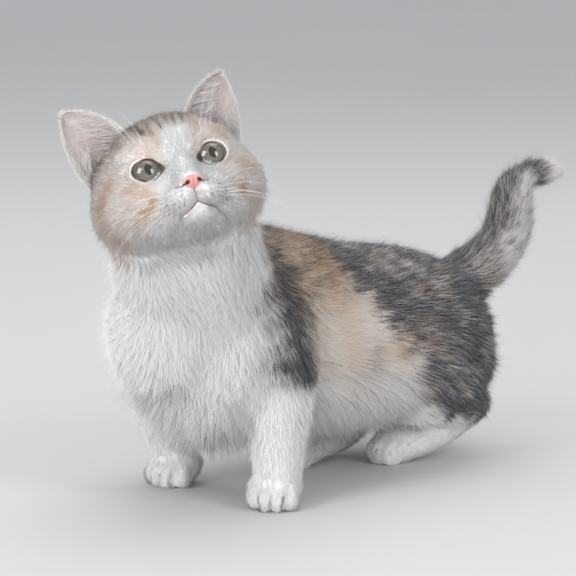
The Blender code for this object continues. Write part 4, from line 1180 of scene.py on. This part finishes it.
# The lids' bare rims. Each eye is ringed by dark, hairless skin that is drawn out to a point at its inner
# corner, and above it the upper lid's edge shows as a band of brownish pink.
LID_STEPS = 72
LID_DARK, LID_PINK = (0.035, 0.022, 0.018), (0.36, 0.19, 0.15)
LID_IN_EYE = ((0.93, -0.5), (0.95, 0.25))  # share of the opening, height over the eyeball
LID_ON_SKIN = ((0.99, 0.0), (1.03, 0.3), (1.07, 0.3), (1.13, -0.5))  # the same, over the skin
LID_EDGE = 0.97  # the share between the two
LID_FOOTING = 1.18  # the share at which the skin's height is taken
UPPER_LID_WIDER = 0.45


def lid_material():
    fixed = {"Roughness": 0.32, "Coat_Weight": 0.3, "Specular_IOR_Level": 0.5}
    material, shader, start = new_material("lid_skin", **fixed)
    pores = texture(start, Scale=2500.0, Detail=2.0)
    feed(shader, Base_Color=marks_of(start)[0].mixed(LID_DARK, LID_PINK), Normal=relief(pores, 0.3, 0.0002))
    return material


LID_SKIN = lid_material()
skin_tree = BVHTree.FromPolygons([tuple(p) for p in head_points], [tuple(f) for f in skin_faces[head_face]])


def on_face_front(x, z):
    """The face's surface straight ahead of a place across and up, in the head's frame."""
    hit = skin_tree.ray_cast(Vector((x, -40, z)), Vector((0, 1, 0)))[0]
    return np.array(hit if hit is not None else (x, 0, z))


for name, side in (("lids_left", 1), ("lids_right", -1)):
    rings, pink = [], []
    for i in range(LID_STEPS):
        angle = 2 * math.pi * i / LID_STEPS
        x_one, z_one = EYE_OPENING[0] * math.cos(angle), EYE_OPENING[1] * math.sin(angle)
        reach = float(corner_reach(x_one, z_one, side))
        for share, height in LID_IN_EYE + LID_ON_SKIN:
            share += UPPER_LID_WIDER * max(share - 1, 0) * float(soft(math.sin(angle), 0.1, 0.7))
            drawn = reach if share > LID_EDGE else 1.0
            x, z = x_one * share * drawn, z_one * share * drawn
            y = EYE_DEPTH - math.sqrt(max((EYE_RADIUS + height)**2 - x * x - z * z, 1.0))
            if share > LID_EDGE:
                out = max(share, LID_FOOTING) / share
                y = min(y + 0.5, on_face_front(side * EYE_SIDE + x * out, z * out)[1] - height)
            rings.append((side * EYE_SIDE + x, y, z))
            pink.append(float(soft(share, 1.03, 1.09)) * float(soft(math.sin(angle), 0.15, 0.6)))
    per = len(LID_IN_EYE + LID_ON_SKIN)
    index = np.arange(LID_STEPS * per).reshape(LID_STEPS, per)
    quads = np.array([(index[i, j], index[i, (j + 1) % per], index[(i + 1) % LID_STEPS, (j + 1) % per],
                       index[(i + 1) % LID_STEPS, j]) for i in range(LID_STEPS) for j in range(per)])
    mesh, _ = mesh_from(name, np.array(rings), quads, np.zeros((0, 3), int))
    write_marks(mesh, np.column_stack([pink, pink, pink]), 1.0, 0.5)
    settle(linked(name, mesh), LID_SKIN, from_head(np.array(rings)))


# The nose leather: a small pink pad, broad above and drawn to a point below, with a groove down its middle
# and a comma of a nostril to each side, dented a little and painted near-black, painted shade for its depth.
NOSE_CENTRE, NOSE_SIZE = (0.0, -9.6, -12.2), (4.7, 3.6, 3.1)
NOSTRIL, NOSTRIL_SLIT = (2.6, -0.4), 2.4  # the hole across and up, and how far its slit runs outward
NOSE_PINK, NOSE_RIM, NOSTRIL_SHADE = (0.64, 0.26, 0.255), (0.66, 0.40, 0.39), (0.07, 0.016, 0.018)


def nose_material():
    fixed = {"Roughness": 0.38, "Coat_Weight": 0.25, "Coat_Roughness": 0.3}
    material, shader, start = new_material("nose_leather", **fixed)
    rim, hole, _, _ = marks_of(start)
    # Painted shade: the nostrils are painted near-black for the depth of their holes.
    colour = hole.mixed(rim.mixed(NOSE_PINK, NOSE_RIM), NOSTRIL_SHADE)
    feed(shader, Base_Color=colour, Normal=relief(texture(start, "TexVoronoi", Scale=2600.0), 0.35, 0.0001))
    return material


deselect()
bpy.ops.mesh.primitive_ico_sphere_add(subdivisions=6, radius=1)
nose = bpy.context.object
nose.name = "nose_leather"
points = read_points(nose.data)
x, y, z = points.T.copy()
narrow = 1 - 0.62 * soft(-z, 0.0, 1.0) - 0.1 * soft(z, 0.3, 1.0)
points = np.stack([x * narrow, y, z], 1) * NOSE_SIZE
x, y, z = points.T
front = y < 0
points[:, 1] += 0.5 * front * bump(x, 0, 0.35) * soft(z, 1.6, 0.2)
off = np.abs(x) - NOSTRIL[0]
hole = np.hypot(off / 1.15, (z - NOSTRIL[1]) / 0.95)
slit = np.hypot(np.maximum(off - NOSTRIL_SLIT, 0) + np.maximum(-off, 0), (z - NOSTRIL[1] + 0.2) / 0.32)
hole = np.minimum(hole, slit)
points[:, 1] += 1.5 * front * soft(hole, 1.15, 0.3)
points[:, 1] -= 0.25 * (bump(hole, 1.5, 0.4) * front)
rim = soft(np.abs(x) / 4.7 + np.abs(z) / 4.5, 0.6, 1.1)
write_marks(nose.data, np.stack([rim, front * soft(hole, 1.1, 0.6), rim], 1), 1.0, 0.5)
settle(nose, nose_material(), from_head(points + NOSE_CENTRE))


# The lips' edges, where the two halves of the muzzle and the jaw meet: a thin line of dark pink skin that
# runs down from the nose and back to both corners of the mouth.
LIP_RADIUS, LIP_SIDES = 0.45, 8
LIP_DARK, LIP_PINK = (0.14, 0.07, 0.07), (0.42, 0.19, 0.19)


def lip_material():
    material, shader, start = new_material("lip_skin", Roughness=0.4, Coat_Weight=0.2)
    patchy = texture(start, Scale=350.0, Detail=3.0)
    feed(shader, Base_Color=patchy.step(0.35, 0.65).mixed(LIP_DARK, LIP_PINK))
    return material


def tube(path, radii, sides):
    """Points and faces of a round closed tube along a path, with a radius at each point."""
    path = np.asarray(path, float)
    along = unit(np.gradient(path, axis=0))
    hint = np.array((0.31, 0.17, 0.93))
    across = unit(np.cross(along, hint))
    upright = np.cross(across, along)
    angles = 2 * np.pi * np.arange(sides) / sides
    ring = np.cos(angles)[None, :, None] * across[:, None] + np.sin(angles)[None, :, None] * upright[:, None]
    points = (path[:, None] + ring * np.asarray(radii)[:, None, None]).reshape(-1, 3)
    index = np.arange(len(path) * sides).reshape(len(path), sides)
    quads = np.stack([index[:-1], index[1:], np.roll(index[1:], -1, 1), np.roll(index[:-1], -1, 1)], -1)
    caps = [(index[0, 0], index[0, j], index[0, j + 1]) for j in range(1, sides - 1)]
    caps += [(index[-1, 0], index[-1, j + 1], index[-1, j]) for j in range(1, sides - 1)]
    return points, quads.reshape(-1, 4), np.array(caps)


def joined_tubes(name, paths, radii, sides):
    """One mesh of several tubes."""
    points, quads, triangles, start = [], [], [], 0
    for path, radius in zip(paths, radii):
        p, q, t = tube(path, radius, sides)
        points.append(p)
        quads.append(q + start)
        triangles.append(t + start)
        start += len(p)
    points = np.concatenate(points)
    mesh, _ = mesh_from(name, points, np.concatenate(quads), np.concatenate(triangles))
    return linked(name, mesh), points


def lip_path(line):
    row = smooth_path([(x, z, 0) for x, z in line])
    return [on_face_front(x, z) + (0, 0.1, 0) for x, z, _ in row]


lip_paths = [lip_path(LIP_LINE), lip_path(LIP_CORNER), lip_path([(-x, z) for x, z in LIP_CORNER])]
taper = [LIP_RADIUS * np.sin(np.linspace(0.9, 2.75, len(p))) for p in lip_paths]
lips, points = joined_tubes("lips", lip_paths, taper, LIP_SIDES)
settle(lips, lip_material(), from_head(points))


# The ears. Each is a thin cup of cartilage and skin on the side of the crown. Its back is furred like the
# head, its rim carries short pale hair, its grey-pink hollow is nearly bare and painted darker towards its
# deep middle, painted shade, and long white hairs cross the hollow from its edges.
EAR_INNER_ROOT, EAR_OUTER_ROOT, EAR_TIP = (12.5, 20.5, 24.5), (35.5, 31.0, 7.0), (36.8, 25.8, 41.2)
EAR_CUP, EAR_WALL, EAR_SUNK = 8.0, 1.7, 0.34
EAR_BACK_DEPTH = 0.5  # the coat's depth on the back of the ear
EAR_ROWS, EAR_COLUMNS = 44, 40
EAR_HAIR = {  # length, lift, width
    "back": (3.6, 10, 0.3), "rim": (2.3, 16, 0.22), "lining": (3.6, 10, 0.12), "long": (15.0, 24, 0.16),
}
RIM_ACROSS, RIM_UP = 0.82, 0.92  # the rim's hair starts at these shares of the ear's width and height
EAR_SKIN_PINK, EAR_HOLLOW_SHADE, EAR_SKIN_BACK = (0.47, 0.40, 0.395), (0.21, 0.16, 0.16), (0.48, 0.43, 0.40)


def ear_material():
    fixed = {"Roughness": 0.55, "Sheen_Weight": 0.1, "Specular_IOR_Level": 0.35}
    material, shader, start = new_material("ear_skin", **fixed)
    inside, depth, _, _ = marks_of(start)
    veins = texture(start, Scale=160.0, Detail=4.0, Roughness=0.6)
    # Painted shade: the hollow's skin darkens towards its deep middle.
    hollow = (depth + (veins - 0.5) * 0.5).step(0.0, 1.0).mixed(EAR_SKIN_PINK, EAR_HOLLOW_SHADE)
    fine = texture(start, Scale=1500.0, Detail=2.0)
    feed(shader, Base_Color=inside.mixed(EAR_SKIN_BACK, hollow), Normal=relief(fine, 0.4, 0.0003))
    return material


def ear_marks(dark, cream):
    def marks(points):
        mottled = 0.04 * grain(points, 3, 21)
        return np.clip(np.stack([0.12 + mottled, dark + mottled, cream + mottled], 1), 0, 1)
    return marks


EAR_SKIN = ear_material()
for name, side in (("left", 1), ("right", -1)):
    inner, outer, tip = np.array((EAR_INNER_ROOT, EAR_OUTER_ROOT, EAR_TIP)) * (side, 1, 1)
    middle_root = (inner + outer) / 2
    across, upward = outer - inner, tip - middle_root
    width, height = np.linalg.norm(across), np.linalg.norm(upward)
    across, upward = across / width, upward / height
    backward = np.cross(upward, across) * side
    backward /= np.linalg.norm(backward)
    s = np.linspace(-EAR_SUNK, 1, EAR_ROWS + 1)[:, None]
    t = np.sin(np.linspace(-1, 1, EAR_COLUMNS + 1) * math.pi / 2)[None, :]
    risen = np.maximum(s, 0)
    spread = np.maximum(0.46 * width * (1 - risen**2.1) ** 0.85, 1.3) * (1 + 0.25 * np.minimum(s, 0))
    cup = EAR_CUP * (1 - risen) ** 0.7 + 0.8
    wall = EAR_WALL * (0.3 + 0.7 * (1 - t**2)) * (1 - 0.35 * risen)
    fold = 0.9 * bump(s, 0.1, 0.16) * bump(t, 0.62, 0.22) - 0.5 * bump(t, -0.35, 0.16) * bump(s, 0.25, 0.3)
    front = middle_root + upward * (height * s + 0 * t)[:, :, None] + across * (spread * t)[:, :, None]
    front = front + backward * (cup * (1 - t**2) + fold + 0.6 - EAR_BACK_DEPTH * 0.5)[:, :, None]
    behind = front + backward * wall[:, :, None]
    ear_places = np.concatenate([front.reshape(-1, 3), behind.reshape(-1, 3)])
    shell = front.shape[0] * front.shape[1]
    index = np.arange(shell).reshape(front.shape[:2])
    quads = np.stack([index[:-1, :-1], index[1:, :-1], index[1:, 1:], index[:-1, 1:]], -1).reshape(-1, 4)
    rim = np.concatenate([index[:, 0], index[-1, 1:], index[-2::-1, -1], index[0, -2:0:-1]])
    rim_quads = np.stack([rim, np.roll(rim, -1), np.roll(rim, -1) + shell, rim + shell], -1)
    ear_quads = np.concatenate([quads, quads[:, ::-1] + shell, rim_quads[:, ::-1]])
    if side == 1:
        ear_quads = ear_quads[:, ::-1]
    ear_points = from_head(ear_places)
    mesh, _ = mesh_from("ear_shell_" + name, ear_points, ear_quads, np.zeros((0, 3), int))
    ear = linked("ear_shell_" + name, mesh)
    ear_normals = field_of(mesh.vertex_normals, "vector")
    s, t = (np.tile(np.broadcast_to(v, index.shape).ravel(), 2) for v in (s, t))
    inside = np.repeat((1.0, 0.0), shell)
    # Painted shade: darkest at the bottom middle of the hollow, none at the rim.
    depth = np.clip(1.1 * (1 - s * 1.5) * (1 - t**2) ** 0.6, 0, 1)
    write_marks(mesh, np.stack([inside, depth, depth], 1), 1.0, 0.5)
    settle(ear, EAR_SKIN, ear_points)
    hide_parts("ear_" + name)
    rise, run = HEAD_TURN @ upward, HEAD_TURN @ across
    faces = ear_quads[:, [0, 1, 2, 0, 2, 3]].reshape(-1, 3)
    face_s, face_t, face_inside = (v[faces].mean(axis=1) for v in (s, t, inside))
    above_root = face_s > -0.05
    on_rim = (np.abs(t[faces]).mean(axis=1) > RIM_ACROSS) | (face_s > RIM_UP)
    on_back = (face_inside < 0.6) & above_root & ~on_rim
    in_hollow = (face_inside == 1) & above_root
    from_edges = in_hollow & ((face_t < -0.45) & (face_s < 0.72) | (face_t > 0.7) & (face_s < 0.3))
    edge = np.maximum(soft(np.abs(t), 0.75, 0.95), soft(s, 0.85, 0.95))[:, None]
    back_sizes = blended(np.array(EAR_HAIR["back"]), np.array(EAR_HAIR["rim"]), edge)
    back_lie = rise + (t * 0.35)[:, None] * run
    lining_lie = rise + (0.5 - 0.5 * t)[:, None] * run
    lining_sizes = np.tile(EAR_HAIR["lining"], (len(s), 1))
    long_lie = rise - np.sign(t)[:, None] * run
    long_sizes = np.tile(EAR_HAIR["long"], (len(s), 1)) - np.maximum(s, 0)[:, None] * (7, 0, 0)
    for layer, chosen, dark, cream, way, size, count, seed, pull, rings in (
        ("fur", on_back, 0.3, 0.45, back_lie, back_sizes, 4500, 30, 0.3, 1),
        ("rim", on_rim & above_root, 0.0, 0.12, back_lie, back_sizes, 4200, 35, 0.3, 1),
        ("lining", in_hollow, 0.14, 0.08, lining_lie, lining_sizes, 2400, 40, 0.3, 1),
        ("furnishings", from_edges, 0.0, 0.05, long_lie, long_sizes, 190, 50, 0.5, 3),
    ):
        grow(f"ear_{layer}_{name}", ear_points, ear_normals, faces[chosen], ear_marks(dark, cream), way, size,
             count, seed + side, pull, FREE, rings)


# The whiskers: long tapered bristles, near white, that leave the pads in rows and droop back in an arc, and
# a few over each eye.
WHISKER_RADIUS, WHISKER_TIP, WHISKER_STEPS = 0.075, 0.015, 14
BROW_ROOTS = [(12.5, 12.0, 19), (15.0, 12.3, 24), (17.5, 11.6, 20)]  # across, up, length
WHISKER_COLOUR = (0.86, 0.83, 0.80)


def whisker_path(root, way, bend, length):
    t = np.linspace(0, 1, WHISKER_STEPS)[:, None]
    return np.array(root) + length * (np.array(way) * t + np.array(bend) * t * t)


dice = np.random.default_rng(77)
paths = []
for side in (1, -1):
    for k, (across, up) in enumerate(whisker_roots(side)):
        j = (abs(across) - WHISKER_FIRST) / WHISKER_STEP
        if j < 0.9 or k % 2:
            continue
        root = on_face_front(across, up) + (0, 0.6, 0)
        fan = (up + 17.8) / 3.0
        way = np.array((side * 1.0, -0.25 + 0.1 * j, 0.25 * fan + 0.08)) + dice.normal(0, 0.05, 3)
        way /= np.linalg.norm(way)
        bend = np.array((-side * 0.12, 0.42, -0.3)) + dice.normal(0, 0.04, 3)
        length = (40 - 3.2 * abs(j - 2.2) - 4 * abs(fan)) * dice.uniform(0.8, 1.05)
        paths.append(whisker_path(root, way, bend, length))
    for across, up, length in BROW_ROOTS:
        root = on_face_front(side * across, up) + (0, 0.6, 0)
        way = np.array((side * 0.35, -0.5, 0.8)) + dice.normal(0, 0.08, 3)
        paths.append(whisker_path(root, way / np.linalg.norm(way), (side * 0.12, 0.35, 0.05), length))
taper = np.linspace(WHISKER_RADIUS, WHISKER_TIP, WHISKER_STEPS)
whiskers, points = joined_tubes("whiskers", paths, [taper] * len(paths), 5)
material, shader, start = new_material("whisker", Roughness=0.35, Specular_IOR_Level=0.5)
shader.inputs["Base Color"].default_value = (*WHISKER_COLOUR, 1)
settle(whiskers, material, from_head(points))
